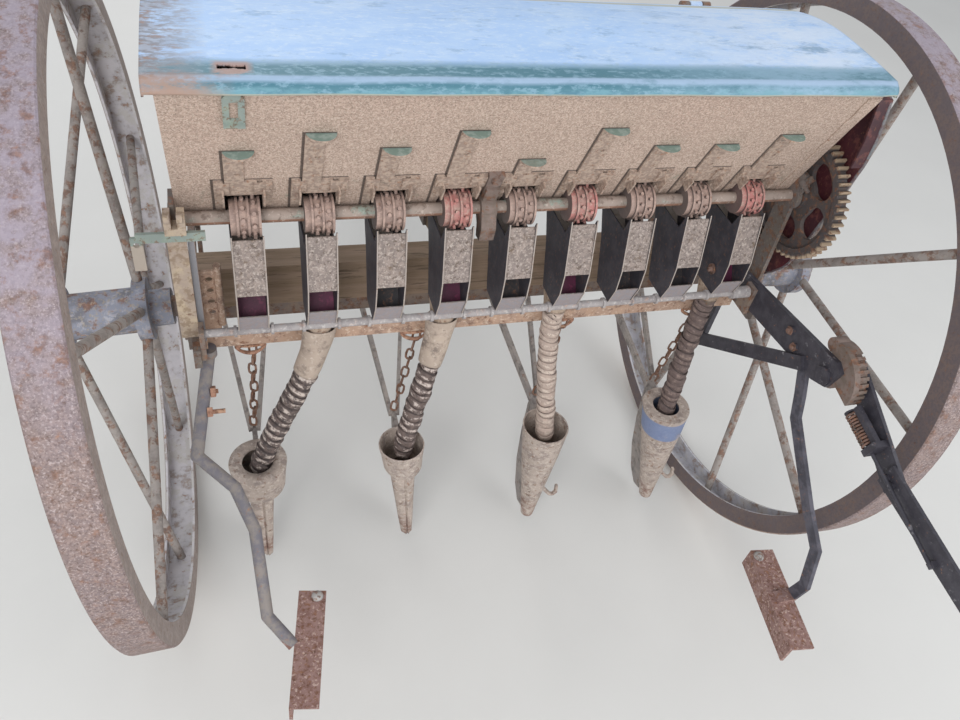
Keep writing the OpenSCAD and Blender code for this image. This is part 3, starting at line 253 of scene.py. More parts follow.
# plain finishes: base, roughness, relief (grain, pits, strength), speckle, and the nodes they are on
plainFinishes = dict(
    spokeSteel=("#9a928d", 0.75, (300, 90, 0.4), [("#7d7571", 0.8, 26, 0.42, 0.1),
        (90, 0.75, 50, 0.42, 0.05), ("#a39c93", 0.6, 140, 0.3, 0.05, 0.6)], "spokes_left", "spokes_right"),
    hubCast=("#8b8e9b", 0.8, (200, 60, 0.5), [("#6b6a70", 0.8, 20, 0.42, 0.1),
        ("#b3b2ba", 0.7, 90, 0.4, 0.06), (80, 0.8, 45, 0.38, 0.05), ("#a59a8b", 0.6, 160, 0.35, 0.05, 0.6)],
        "hub_left", "hub_right"),
    castBrown=("#7f6f68", 0.76, (220, 70, 0.5), [("#665a50", 0.7, 30, 0.5, 0.1), (90, 0.75, 70, 0.4, 0.05)],
        "quadrant", "shaft_brackets", "idler_gear", "pinion"),
    guardRed=("#51262d", 0.55, (300, 40, 0.2), [("#3f2b31", 0.85, 9, 0.5, 0.2, 0.6),
        ("#7a2430", 0.7, 12, 0.22, 0.1, 0.6), ("#7b4b45", 0.6, 60, 0.35, 0.06), (90, 0.7, 130, 0.28, 0.04)],
        "gear_guard"),
    leverSteel=("#37353d", 0.5, (300, 90, 0.3), [("#4c4a52", 0.7, 35, 0.45, 0.12),
        ("#8f8d92", 0.7, 60, 0.2, 0.05), (90, 0.7, 90, 0.16, 0.05)], "lever_arm", "lever", "brace_right"),
    darkSteel=("#7b6e68", 0.7, (300, 90, 0.4), [("#8d7b6b", 0.7, 40, 0.5, 0.1), (80, 0.8, 70, 0.42, 0.06)],
        "bar_ears", "axle", "drag_bar", "stays", "tow_eye", "hinges", "latch_spring"),
    barSteel=("#a49e9d", 0.7, (300, 90, 0.4), [("#8b8585", 0.8, 30, 0.45, 0.12),
        ("#a8806c", 0.8, 80, 0.3, 0.06), ("#c6c1be", 0.7, 160, 0.35, 0.05)], "chute_bar"),
    frameSteel=("#6b6360", 0.72, (260, 80, 0.4), [("#6f655c", 0.7, 18, 0.5, 0.12),
        (80, 0.8, 60, 0.42, 0.06), ("#8d8172", 0.5, 200, 0.3, 0.05, 0.6)], "rail_left", "rail_right",
        "front_rail", "standard_left", "standard_right", "idler_bracket", "drag_hangers", "pole_bracket"),
    tubeSteel=("#5a4a42", 0.7, (300, 90, 0.4), [("#8d7a6a", 0.7, 50, 0.5, 0.1), (90, 0.7, 90, 0.4, 0.05)],
        "tube_1", "tube_2", "tube_3", "tube_4"),
    forkSteel=("#8b8481", 0.72, (260, 90, 0.4), [("#a0978f", 0.7, 30, 0.5, 0.1),
        ("#5c5552", 0.75, 40, 0.36, 0.08), (80, 0.8, 70, 0.26, 0.05)], "fork_1", "fork_2", "fork_3",
        "fork_4"),
    postPaint=("#a8978a", 0.85, (300, 90, 0.4), [("#c9b699", 0.7, 30, 0.45, 0.15),
        ("#8a7560", 0.7, 90, 0.42, 0.06), (80, 0.8, 50, 0.24, 0.04, 0.75)], "post_left"),
    bootPaint=("#a8988b", 0.85, (160, 50, 0.4), [("#b9a899", 0.8, 14, 0.5, 0.2),
        ("#6f625b", 0.8, 40, 0.34, 0.1), ("#cbbdb0", 0.6, 120, 0.3, 0.06)]),
    springSteel=("#4b3f39", 0.62, (400, 140, 0.4), [("#8a6a5e", 0.8, 60, 0.5, 0.1),
        (110, 0.8, 140, 0.4, 0.06)]),
    chainRust=("#6d5447", 0.8, (400, 140, 0.5), [("#93786a", 0.7, 60, 0.5, 0.1),
        (120, 0.85, 130, 0.5, 0.08)]),
    shackleRust=("#a37a66", 0.82, (400, 120, 0.5), [("#c09a80", 0.8, 50, 0.45, 0.1),
        (110, 0.8, 120, 0.45, 0.07)]),
    greyHead=("#9a9794", 0.7, (300, 100, 0.4), [("#b9b6b2", 0.7, 60, 0.45, 0.1),
        (100, 0.8, 120, 0.42, 0.06)]),
    beadPaint=("#7d8083", 0.6, (300, 100, 0.3), [("#5e3a3d", 0.7, 50, 0.5, 0.1),
        (100, 0.7, 140, 0.35, 0.05)]),
    linerRed=("#5a1b3c", 0.55, (300, 90, 0.3), [("#3d1a2c", 0.8, 60, 0.45, 0.15),
        ("#7c2a50", 0.7, 120, 0.34, 0.06)]),
    linerDark=("#2c2a2e", 0.65, (300, 90, 0.3), [("#443c3a", 0.8, 60, 0.45, 0.15),
        (90, 0.6, 120, 0.3, 0.06)]))
finishes = {}
for name, (base, roughness, relief, rows, *on) in plainFinishes.items():
    m = Finish(name, base, roughness)
    m.spots(*rows)
    finishes[name] = m.done(*relief)
    paint(finishes[name], *on)

# worn beige, with painted shadow round the shutters
m = Finish("hopperPaint", "#b8a294", 0.85)
m.spots(("#c0aa9c", 0.7, 9, 0.45, 0.2, 0.6), ("#bca294", 0.6, 4, 0.4, 0.15, 0.6),
        ("#9b8779", 0.6, 240, 0.5, 0.06, 0.5), ("#cfbeb0", 0.55, 330, 0.38, 0.05, 0.5),
        ("#6b5a50", 0.6, 520, 0.34, 0.05, 0.5))
m.spots(("#85756c", 0.75, 22, 0.6, 0.15, 0.6), within=m.between("Z", 0.8, 0.91, 0.04))
m.spots(("#7d8476", 0.6, 34, 0.24, 0.06), within=m.between("Z", 0.8, 0.99, 0.05))
m.spots((80, 0.9, 30, 0.12, 0.02, 0.75))
rearWall = m.between("Y", axleY - 0.3, axleY - 0.06, 0.002)
# painted shadow beside and above each shutter and its guide, cast where the plates stand proud of the wall;
# climb is metres of height per millimetre of wall
shutterShadow = dict(tops=(175, 215, 177, 216, 140, 218, 171, 171, 195), wallFoot=0.878, climb=0.0009164,
            foot=0.97, guideFoot=0.90, guideTop=0.974, tone="#352d2a")
for x, top in zip(rowX, shutterShadow["tops"]):
    high, guide = shutterShadow["wallFoot"] + shutterShadow["climb"] * top, shutterShadow["guideTop"]
    for left, right, low, up, soft in ((-0.0303, -0.0255, shutterShadow["foot"], high + 0.0015, 0.001),
                                       (-0.0303, 0.0180, high, high + 0.0042, 0.0008),
                                       (-0.0462, -0.0415, shutterShadow["guideFoot"], guide + 0.003, 0.001),
                                       (-0.0462, 0.0435, guide, guide + 0.0035, 0.0008)):
        upright = m.between("X", x + left, x + right, 0.0006)
        m.over(m.both(upright, m.between("Z", low, up, soft), rearWall), shutterShadow["tone"], 0.8)
hopperPaint = m.done(420, 150, 0.5)
paint(hopperPaint, "hopper")

# pale chalk over teal, teal along the rear bend, whitened and rusty at the left end
rearEdge = axleY - 0.2357
m = Finish("lidPaint", "#b0cdf2", 0.6, stretch=(0.45, 1, 1))


def fromRear(low, high, soft):
    return m.between("Y", rearEdge + low, rearEdge + high, soft)


m.spots(("#9fbfe8", 0.8, 7, 0.5, 0.25), ("#c0d6f0", 0.7, 22, 0.42, 0.14, 0.75),
        ("#7d9fc0", 0.5, 34, 0.3, 0.06, 0.75))
m.spots(("#d0dcec", 0.8, 26, 0.62, 0.1, 0.8, 0.8), within=m.between("X", 0.12, 0.75, 0.3))
m.spots(("#7696b2", 0.75, 12, 0.36, 0.06), within=m.between("X", 0.2, 0.62, 0.1))
m.spots(("#d6e3f2", 0.45, 150, 0.34, 0.08))
m.spots(("#3d7280", 0.95, 9, 1.0, 0.25, 0.7, 0.5), within=fromRear(-0.02, 0.058, 0.02))
rearRight = m.both(fromRear(-0.02, 0.062, 0.02), m.between("X", 0.05, 0.75, 0.35))
m.spots(("#92b1c8", 0.8, 20, 0.62, 0.12, 0.8), within=rearRight)
m.spots(("#84a7bb", 0.7, 150, 0.4, 0.06), within=fromRear(-0.02, 0.06, 0.01))
m.spots(("#a5bcd6", 0.85, 30, 0.85, 0.15), within=fromRear(0.004, 0.018, 0.005))
m.spots(("#6b9aa8", 0.8, 60, 0.55, 0.1), within=fromRear(-0.02, 0.002, 0.002))
m.spots(("#b3b3a2", 0.85, 40, 0.8, 0.1), within=m.between("Z", 1.15, 1.1593, 0.0012))
m.spots(("#a3a4ac", 0.85, 34, 0.62, 0.1, 0.75, 0.85), ("#7b7a80", 0.7, 150, 0.5, 0.06, 0.6),
        ("#a08577", 0.8, 75, 0.34, 0.07, 0.75, 0.9), within=m.between("X", -0.72, -0.478, 0.075))
rearLeft = m.both(m.between("X", -0.72, -0.45, 0.05), fromRear(-0.02, 0.022, 0.012))
m.spots(("#a58878", 0.85, 40, 0.6, 0.1, 0.75, 0.9), within=rearLeft)
slotRust = m.both(m.between("X", -0.481, -0.425, 0.01), fromRear(0.01, 0.052, 0.008))
m.spots(("#ab8577", 0.8, 60, 0.6, 0.08), within=slotRust)
m.spots(("#b48e88", 0.7, 60, 0.07, 0.03, 0.75))
lidPaint = m.done(300, 34, 0.3)
paint(lidPaint, "lid")

# rims: pinkish rust on the tread, dark flanks, grey inside the channel
rimLooks = dict(left=("#cdc9cc", "#adabb0", "#a3958e", "#8d7f78", "#857c7a"),
                right=("#c4c3c9", "#9c9da5", "#655b5d", "#72625c", "#5d5458"))
for side, (base, spot, flankTone, flankSpot, flankGrain) in rimLooks.items():
    m = Finish("rimSteel_" + side, base, 0.74)
    place = m.wheel("wheel_%s_spin" % side)
    m.spots((spot, 0.75, 30, 0.45, 0.15, 0.6), ("#c3bfbb", 0.85, 22, 0.42, 0.05, 0.75),
            ("#9b8a80", 0.8, 30, 0.36, 0.05), (60, 0.8, 60, 0.22, 0.05))
    flank = m.band(mathNode(m.tree, "ABSOLUTE", place["Along"]), 0.0305, 0.2, 0.001)
    m.over(flank, flankTone)
    m.spots((flankSpot, 0.8, 45, 0.5, 0.12), (flankGrain, 0.6, 220, 0.45, 0.06, 0.6),
            (90, 0.6, 120, 0.26, 0.06), within=flank)
    tread = m.band(place["Radius"], 0.5965, 0.9, 0.001)
    m.over(tread, "#857679")
    m.spots(("#8b776c", 0.85, 8, 0.5, 0.2), ("#786b6c", 0.8, 26, 0.5, 0.2),
            ("#a08b84", 0.6, 160, 0.45, 0.1), ("#b8aaa8", 0.7, 330, 0.34, 0.06, 0.6),
            ("#5a4740", 0.75, 250, 0.36, 0.08), within=tread)
    # paler, bluer tread along the top of the wheel: painted sky highlight
    m.spots(("#a198a6", 0.75, 40, 0.62, 0.15), within=m.both(tread, m.between("Z", 0.85, 1.4, 0.2)))
    m.spots(("#bba08b", 0.8, 40, 0.66, 0.15), within=m.both(tread, m.between("Z", -0.1, 0.33, 0.14)))
    m.spots((120, 0.65, 50, 0.34, 0.08), within=tread)
    paint(m.done(260, 70, 0.45), "rim_" + side)

# dark base: painted shade on the chute side plates; faces turned to the rear take the lit beige
m = Finish("chuteShadedPaint", "#3a383f", 0.62)
m.spots(("#4d4a50", 0.7, 40, 0.45, 0.12, 0.6))
m.over(m.facing("-Y", 0.55), "#a39890")
m.spots((90, 0.5, 160, 0.3, 0.05))
chuteShadedPaint = m.done(300, 80, 0.3)
paint(chuteShadedPaint, "chutes")

m = Finish("chuteFront", "#8d817c", 0.8)
m.spots(("#9a8b82", 0.8, 12, 0.5, 0.2), ("#7b706b", 0.8, 120, 0.5, 0.06, 0.6),
        ("#b9ada4", 0.7, 260, 0.36, 0.05, 0.6), ("#57493f", 0.75, 170, 0.32, 0.05, 0.65),
        ("#6a5848", 0.75, 40, 0.26, 0.06))
sill = m.between("Z", 0.70, 0.7475, 0.002)
m.over(sill, "#93898a", 0.85)
m.spots(("#8b898f", 0.8, 150, 0.45, 0.06), within=sill)
chuteFront = m.done(300, 80, 0.3)

m = Finish("feedPaint", "#a18a80", 0.66)
m.spots(("#7b6660", 0.75, 60, 0.42, 0.12))
for i in (3, 5, 8):
    m.spots(("#bd7470", 0.8, 24, 0.62, 0.2), within=m.between("X", rowX[i] - 0.03, rowX[i] + 0.03, 0.002))
m.spots(("#b99e91", 0.75, 120, 0.42, 0.05), (110, 0.7, 90, 0.2, 0.04))
# end faces of the feed wheels darker, one tone for each side: painted shade
m.over(m.facing("X", 0.85), "#544c4b", 0.85)
m.over(m.facing("-X", 0.85), "#5c5452", 0.85)
paint(m.done(400, 110, 0.4), "feed_wheels")

m = Finish("gearCast", "#4d4849", 0.72)
m.spots(("#544a46", 0.8, 30, 0.5, 0.12))
m.over(m.band(m.wheel("seed_shaft_spin")["Radius"], 0.1145, 0.3, 0.004), "#a8937c", 0.9)
m.spots((90, 0.7, 80, 0.38, 0.05))
paint(m.done(220, 70, 0.5), "seed_gear")

m = Finish("shaftSteel", "#93857c", 0.72)
m.spots(("#a29288", 0.8, 14, 0.5, 0.15))
m.over(m.facing("-Z", 0.1), "#8a5f48", 0.8)
m.spots(("#8b9d92", 0.85, 18, 0.3, 0.06, 0.75), within=m.facing("Z", 0.2))
m.spots(("#6b5a50", 0.8, 60, 0.34, 0.06), ("#c2b4a8", 0.6, 140, 0.3, 0.05))
paint(m.done(300, 90, 0.4), "seed_shaft")

# steel bars with a rusty angle iron each
for side, steel, flake in (("left", "#716e75", "#91887f"), ("right", "#43424b", "#62606a")):
    m = Finish("footboardIron_" + side, steel, 0.74)
    m.spots((flake, 0.7, 40, 0.5, 0.1), (90, 0.7, 90, 0.22, 0.05))
    if side == "left":
        angle = m.both(m.between("X", -0.452, -0.2, 0.002), m.between("Z", 0.1, 0.2765, 0.001))
    else:
        angle = m.between("Z", 0.1, 0.2975, 0.0008)
    m.over(angle, "#866862")
    m.spots(("#9a7d76", 0.8, 22, 0.5, 0.15), ("#7a5a52", 0.8, 60, 0.45, 0.08), (80, 0.85, 120, 0.4, 0.06),
            ("#c3aca2", 0.7, 180, 0.3, 0.04, 0.6), within=angle)
    paint(m.done(240, 90, 0.5), "footboard_" + side)

cupPaint = []
for k in range(1, 5):
    m = Finish("cupPaint_%d" % k, "#a89a90", 0.8)
    m.spots(("#b9aaa0", 0.7, 20, 0.5, 0.15), ("#8a7d78", 0.75, 50, 0.4, 0.07),
            ("#cbbfb4", 0.7, 130, 0.36, 0.05, 0.65), (80, 0.7, 70, 0.3, 0.05))
    m.spots(("#7a5548", 0.75, 50, 0.5, 0.1), within=m.between("Z", 0.0, 0.13, 0.05))
    if k == 4:
        m.spots(("#6f82a8", 0.85, 16, 0.9, 0.12, 0.6), within=m.between("Z", 0.318, 0.384, 0.004))
    cupPaint.append(m.done(260, 80, 0.45))
    paint(cupPaint[-1], "cup_%d" % k)

m = Finish("greenPaint", "#8b9690", 0.75)
m.spots(("#97a596", 0.7, 60, 0.45, 0.1), (80, 0.7, 120, 0.36, 0.05))
m.over(m.both(m.between("X", -0.62, -0.585, 0.001), m.between("Z", 0.8, 0.882, 0.002)), "#b3a598", 0.9)
paint(m.done(300, 90, 0.4), "hasp", "strap_left")

m = Finish("shutterSteel", "#b09c8d", 0.82)
m.spots(("#85736a", 0.6, 170, 0.5, 0.05, 0.5), ("#6a6258", 0.7, 60, 0.22, 0.08), (80, 0.7, 160, 0.3, 0.05))
tabs = m.both(m.facing("Z", 0.9), m.between("Z", 1.0, 1.2, 0.01))
m.over(tabs, "#7e968e", 0.95)
m.spots(("#9fb0aa", 0.8, 70, 0.42, 0.07), within=tabs)
paint(m.done(300, 90, 0.4), "shutters", "shutter_guides")

m = Finish("beamWood", "#96816f", 0.85, stretch=(0.08, 1, 1))
m.spots(("#7e6b56", 0.8, 60, 0.5, 0.15), ("#52453a", 0.7, 160, 0.3, 0.05))
paint(m.done(300, 120, 0.5), "main_beam")

m = Finish("poleWood", "#8d7b66", 0.86, stretch=(1, 0.06, 1))
m.spots(("#6f5f4f", 0.8, 50, 0.5, 0.15), ("#463b31", 0.8, 140, 0.34, 0.05))
paint(m.done(300, 120, 0.5), "pole")

m = Finish("plateRust", "#b39580", 0.82)
m.spots(("#a58a7a", 0.8, 16, 0.5, 0.15), ("#7d665a", 0.8, 50, 0.36, 0.08),
        ("#cdb8a6", 0.7, 130, 0.34, 0.05, 0.65), (80, 0.8, 70, 0.3, 0.05))
m.over(m.both(m.between("X", -0.54, -0.5255, 0.001), m.between("Z", 0.655, 0.9, 0.002)), "#8f9197", 0.9)
paint(m.done(300, 90, 0.45), "rear_rail", "end_plate")

m = Finish("funnelPaint", "#a59383", 0.82)
m.spots(("#b7a390", 0.7, 40, 0.45, 0.12), ("#7c6753", 0.75, 70, 0.42, 0.07))
m.over(m.between("Z", 0.60, 0.676, 0.006), "#4a3e38", 0.75)
m.spots((90, 0.8, 110, 0.3, 0.05))
funnelPaint = m.done(280, 90, 0.4)
print("materials done")


# meshes worked out on grids, in metres from the axle line
def local(points):  # to places in the frame
    return np.asarray(points, float) + np.array((0, axleY, 0))


def around(count):  # angles of one turn
    return np.arange(count) * 2 * np.pi / count


def fade(value, width):  # from 0 to 1 over a width
    return np.clip(value / width, 0, 1)


def addMesh(name, points, faces, mat, body=None, slot=None, smooth=True):
    mesh = bpy.data.meshes.new(name)
    mesh.from_pydata(points.tolist(), [], faces)
    if smooth:
        mesh.polygons.foreach_set("use_smooth", np.ones(len(mesh.polygons), bool))
    mesh.materials.append(mat)
    mesh.update()
    obj = bpy.data.objects.new(name, mesh)
    bpy.context.collection.objects.link(obj)
    if body:
        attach(obj, body)
    return obj


def addSolids(name, solids, *looks, **more):  # solids are pairs of points and faces, joined in one mesh
    faces, first = [], 0
    for points, own in solids:
        faces += [[corner + first for corner in face] for face in own]
        first += len(points)
    return addMesh(name, local(np.concatenate([points for points, own in solids])), faces, *looks, **more)


# quads between the rings of a grid; the columns close on themselves, the rows only if asked
def ringFaces(rows, columns, closeRows=False):
    i, j = np.meshgrid(np.arange(rows if closeRows else rows - 1), np.arange(columns), indexing="ij")
    below, beside = (i + 1) % rows, (j + 1) % columns
    corners = (i * columns + j, i * columns + beside, below * columns + beside, below * columns + j)
    return np.stack(corners, -1).reshape(-1, 4).tolist()


def solid(grid, faces, flip):
    return grid.reshape(-1, 3), [face[::-1] for face in faces] if flip else faces


def closed(grid, flip=False):  # closed both ways, like a ring
    return solid(grid, ringFaces(*grid.shape[:2], True), flip)


def skins(outer, inner, flip=False):  # a tube wall of two skins, open at its ends
    return closed(np.concatenate([outer, inner[::-1]]), flip)


def capped(grid, flip=False):  # closed round its columns, with a face at each end
    rows, columns = grid.shape[:2]
    last = (rows - 1) * columns
    ends = [list(range(columns))[::-1], list(range(last, last + columns))]
    return solid(grid, ringFaces(rows, columns) + ends, flip)


# round section at each centre: centre plus radius times (cos b times outward plus sin b times side)
def rounded(centres, radius, outward, side, count):
    b = around(count)[:, None]
    if np.ndim(radius) < 2:
        radius = np.reshape(radius, (-1, 1))
    radius = np.broadcast_to(radius, (len(centres), count))[..., None]
    side = np.broadcast_to(side, centres.shape)
    return centres[:, None] + radius * (np.cos(b) * outward[:, None] + np.sin(b) * side[:, None])


# tube: round sections square to the path; the reference fixes where each one starts
def tubePoints(path, radius, sides, reference=(0, 1, 0)):
    tangent = np.gradient(path, axis=0)
    tangent /= np.linalg.norm(tangent, axis=1, keepdims=True)
    across = np.cross(np.asarray(reference, float), tangent)
    across /= np.linalg.norm(across, axis=1, keepdims=True)
    return rounded(path, radius, across, np.cross(tangent, across), sides)


# turned profile: radius and height pairs carried round an axis, closed at both ends
def turned(profile, sides, place, axis, twist=0.0):
    turn = np.array(Vector((0, 0, 1)).rotation_difference(Vector(axis).normalized()).to_matrix())
    angle = around(sides) + twist
    radius, height = np.hsplit(profile, 2)
    grid = np.stack([radius * np.cos(angle), radius * np.sin(angle), np.repeat(height, sides, 1)], -1)
    return capped(grid @ turn.T + np.array(place))


def lengths(path):  # length of a path up to each of its points
    return np.concatenate([[0], np.cumsum(np.linalg.norm(np.diff(path, axis=0), axis=1))])


def alongPath(path, where):  # points of a path at given lengths
    return np.stack([np.interp(where, lengths(path), column) for column in path.T], 1)


# lean of each coulter: sideways shift for each metre above the height that stays
lean = dict(slope=(-0.015, -0.109, -0.064, -0.169), still=(0.045, 0.150, 0.179, 0.208),
            top=0.4, dragY=0.230, apexY=-0.124)


def leant(points, k):  # the legs lean less toward the drag bar
    points = np.array(points, float)
    share = np.clip((lean["dragY"] - points[..., 1]) / (lean["dragY"] - lean["apexY"]), 0, 1)
    points[..., 0] += lean["slope"][k] * (np.minimum(points[..., 2], lean["top"]) - lean["still"][k]) * share
    return points


# the piece's placing is baked into its mesh
def bends(piece, top, foot, inset):
    top = local(top - np.array((0, 0, inset[0])))
    foot = local(foot + np.array((0, 0, inset[1])))
    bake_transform(piece)


# seed tubes of overlapping rings; part and rise give the outline of one ring, widest at its upper lip
tubes = dict(ring=0.0155, groove=0.0022, outer=0.0205, bore=0.0155, sides=28, lean=0.004, wobble=0.0007,
             part=(0.0, 0.07, 0.3, 0.6, 0.88, 0.97), rise=(-1.0, 0.0, -0.12, -0.3, -0.45, -1.0),
             feeds=(1, 3, 5, 8), cupTop=(0.375, 0.375, 0.375, 0.395), topY=-0.150, cupY=-0.205,
             drop=0.0348, sink=0.03, inset=(0.01, 0.02), hang=0.1077, aim=(0.2, 0.012, 0.1), steps=400)
# steel, paint left on the lips, its cover, and patches beside it
tubeLooks = (("#4b4241", "#cbbdb3", 0.46, "#75655f"), ("#564a47", "#c8bab2", 0.44, "#75655f"),
             ("#b5a195", "#cbbbae", 0.5, "#a3938a"), ("#5f504e", "#8d7a72", 0.4, "#75655f"))


# cubic curve from under the chute to the leaning cup; hang and aim place its two middle points
def tubeCourse(k):
    row = rowX[tubes["feeds"][k]]
    start = np.array((row, tubes["topY"], chuteFoot - tubes["drop"]))
    stop = leant((coulterX[k], tubes["cupY"], tubes["cupTop"][k] - tubes["sink"]), k)
    first = start - np.array((0, 0, tubes["hang"]))
    second = stop + np.array((row - coulterX[k], 1, 1)) * tubes["aim"]
    t = np.linspace(0, 1, tubes["steps"])[:, None]
    return (1 - t) ** 3 * start + 3 * (1 - t) ** 2 * t * first + 3 * (1 - t) * t ** 2 * second + t ** 3 * stop


def tubePaint(k):
    steel, torn, cover, patch = tubeLooks[k]
    m = Finish("tubeRings_%d" % (k + 1), steel, 0.78, (4, 0.6, 1), "UV")
    m.spots((patch, 0.7, 3, 0.5, 0.12))
    m.spots((torn, 0.95, 2.2, cover, 0.05, 0.72), ("#7d6a60", 0.7, 9, 0.35, 0.06),
            within=m.ringBand(0.12, 0.8, 0.16))
    # near-black at both ends of each ring: painted shade in the grooves between rings
    for low, high in ((0.0, 0.055), (0.93, 1.0)):
        m.over(m.ringBand(low, high, 0.03), "#241c1b", 0.9)
    return m.done(40, 9, 0.35)


def seedTube(k, curve):
    part, rise, sides = np.array(tubes["part"]), np.array(tubes["rise"]), tubes["sides"]
    total = lengths(curve)[-1]
    count = int(total / tubes["ring"])
    where = ((np.arange(count)[:, None] + part) * total / count).ravel()
    own = rng.normal(0, tubes["wobble"], count)[:, None]
    radius = (tubes["outer"] + tubes["groove"] * rise + own).reshape(-1, 1)
    path = alongPath(curve, where)
    shift = np.repeat(rng.normal(0, tubes["wobble"], (count, 3)), len(part), 0)
    angle, run = around(sides), where[:, None]
    dent = 0.0006 * np.sin(angle * 3 + run * 90) + 0.0004 * np.sin(angle * 5 - run * 210)
    outer = tubePoints(path + shift, radius + dent, sides)
    # each ring leans, so that it passes the front a little lower than the back
    outer[..., 2] += tubes["lean"] * np.sin(angle + 0.7)
    back = slice(None, None, -len(part))
    grid = np.concatenate([outer, tubePoints(path[back], tubes["bore"], sides)])
    tube = addSolids("seed_tube_%d" % (k + 1), [closed(grid)], tubePaint(k), slot="tube_steel")
    # texture places: share of the way round, and number of rings from the top
    corners = np.zeros(len(tube.data.loops), np.int32)
    tube.data.loops.foreach_get("vertex_index", corners)
    column = (corners % sides).reshape(-1, 4)
    column = np.where((np.ptp(column, 1, keepdims=True) > 2) & (column == 0), sides, column).ravel()
    ring = np.concatenate([where, where[back]])[corners // sides] / (total / count)
    places = np.stack([column / sides, ring], 1).ravel().astype(np.float32)
    tube.data.uv_layers.new(name="UVMap").data.foreach_set("uv", places)
    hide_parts("tube_%d" % (k + 1))
    return tube


# beige boot over a tube's top, wide at the rail and narrow at its foot
boots = dict(top=0.004, foot=0.112, rows=26, sides=32, wall=0.0016, wide=0.0305, taper=0.0075,
             deep=0.0216, flare=0.0014, crease=0.03)


def tubeBoot(k, curve):
    where = np.linspace(boots["top"], boots["foot"], boots["rows"])
    path = alongPath(curve, where)
    share = (where - where[0]) / (where[-1] - where[0])
    ring = tubePoints(path, 1.0, boots["sides"]) - path[:, None]
    folds = np.sin(around(boots["sides"]) * 3 + k)[None, :, None]
    crease = 1 + boots["crease"] * folds * share[:, None, None]
    shells = []
    for less in (0.0, boots["wall"]):
        wide = boots["wide"] - boots["taper"] * share ** 0.8 + 0.0006 * np.sin(share * 9 + k) - less
        deep = boots["deep"] - less + boots["flare"] * share
        shells.append(path[:, None] + ring * crease * np.stack([wide, deep, wide], 1)[:, None])
    return addSolids("tube_boot_%d" % (k + 1), [skins(*shells)], finishes["bootPaint"], slot="tube_steel")


# square at the chute and round at the tube: a superellipse whose power falls from 8 to 2
funnels = dict(height=0.043, gap=0.0004, top=(0.0245, 0.0205), foot=0.0212, wall=0.0022, rows=12, sides=48)


def tubeFunnel(k):
    row = rowX[tubes["feeds"][k]]
    depth = np.linspace(0, 1, funnels["rows"])[:, None]
    turn = around(funnels["sides"])[None]
    power = 2 + 6 * (1 - depth) ** 2
    size = (np.abs(np.cos(turn)) ** power + np.abs(np.sin(turn)) ** power) ** (-1 / power)
    ragged = depth ** 4 * (0.0035 * np.sin(turn * 3 + k) + 0.002 * np.sin(turn * 7 + 2 * k))
    z = chuteFoot - funnels["gap"] - funnels["height"] * depth + ragged
    shells = []
    for less in (0.0, funnels["wall"]):
        a, b = [half * (1 - depth) + funnels["foot"] * depth - less for half in funnels["top"]]
        x = row + a * size * np.cos(turn)
        shells.append(np.stack([x, tubes["topY"] + b * size * np.sin(turn), z], -1))
    solids = [skins(*shells, flip=True)]
    addSolids("tube_funnel_%d" % (k + 1), solids, funnelPaint, "frame", "tube_steel")


for k in range(4):
    curve = tubeCourse(k)
    pieces = [seedTube(k, curve)]
    if k < 2:
        pieces.append(tubeBoot(k, curve))
    for piece in pieces:
        bends(piece, curve[0], curve[-1], tubes["inset"])
    tubeFunnel(k)
print("seed tubes done")

# coil of the latch, a helix round the line of the lever's rod
coil = dict(radius=0.0100, sway=0.0003, wire=0.0024, turns=11, pitch=0.0059, start=0.0155, sides=10, steps=18,
            armX=0.5717, armTilt=25, rod=(-0.016, -0.062, -0.001), rodTilt=-13)
armFoot = Vector((coil["armX"], *pivots["lift_lever"].yz))
armPlace = Matrix.Translation(armFoot) @ Matrix.Rotation(math.radians(coil["armTilt"]), 4, "X")
rodTurn = Matrix.Rotation(math.radians(coil["rodTilt"]), 4, "X")
rodPlace = armPlace @ Matrix.Translation(coil["rod"]) @ rodTurn
t = np.linspace(0, coil["turns"], coil["turns"] * coil["steps"] + 1)
reach = coil["radius"] + coil["sway"] * np.sin(t * 1.7)
down = coil["start"] + t * coil["pitch"]
path = np.stack([reach * np.cos(2 * np.pi * t), -down, reach * np.sin(2 * np.pi * t)], 1)
path = path @ np.array(rodPlace.to_3x3()).T + np.array(rodPlace.translation)
rodLine = np.array(rodPlace.to_3x3() @ Vector((0, 1, 0)))
points, faces = capped(tubePoints(path, coil["wire"], coil["sides"], rodLine))
spring = addMesh("latch_coil", points, faces, finishes["springSteel"], "lift_lever_body", "dark_steel")
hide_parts("latch_spring")
print("spring done")

# lift chains between the rail behind the tubes and the forks
chains = dict(links=9, length=0.0262, halfWidth=0.0068, wire=0.0024, steps=12, sides=6, turn=0.5,
              aside=0.004, topY=-0.1235, footY=-0.124, top=0.6125, foot=0.3865, inset=(0.012, 0.012))
# oval ring under the rail with its two legs, which a chain hangs from
shackles = dict(half=0.025, z=0.6035, rise=0.0085, bow=0.0045, wire=0.0033, steps=32, sides=10,
                legX=0.019, legWire=0.0034, legZ=(0.6065, 0.611, 0.6155))


def upright(angle, x=1.0, z=1.0, y=0.0):  # an oval in X and Z
    return np.stack([x * np.cos(angle), np.broadcast_to(y, angle.shape), z * np.sin(angle)], 1)


# one link: a stadium carried round by a small circle, every second one turned by a quarter
def chainLink(centre, direction, quarters):
    a = around(chains["steps"])
    line = upright(a, chains["halfWidth"], chains["halfWidth"])
    line[:, 2] += (chains["length"] / 2 - chains["halfWidth"]) * np.sign(np.round(np.sin(a), 6))
    link = rounded(line, chains["wire"], upright(a), (0, 1, 0), chains["sides"])
    spin = Matrix.Rotation(math.radians(90 * quarters) + chains["turn"], 3, "Z")
    turn = Vector((0, 0, 1)).rotation_difference(Vector(direction)).to_matrix() @ spin
    return closed(link @ np.array(turn).T + centre)


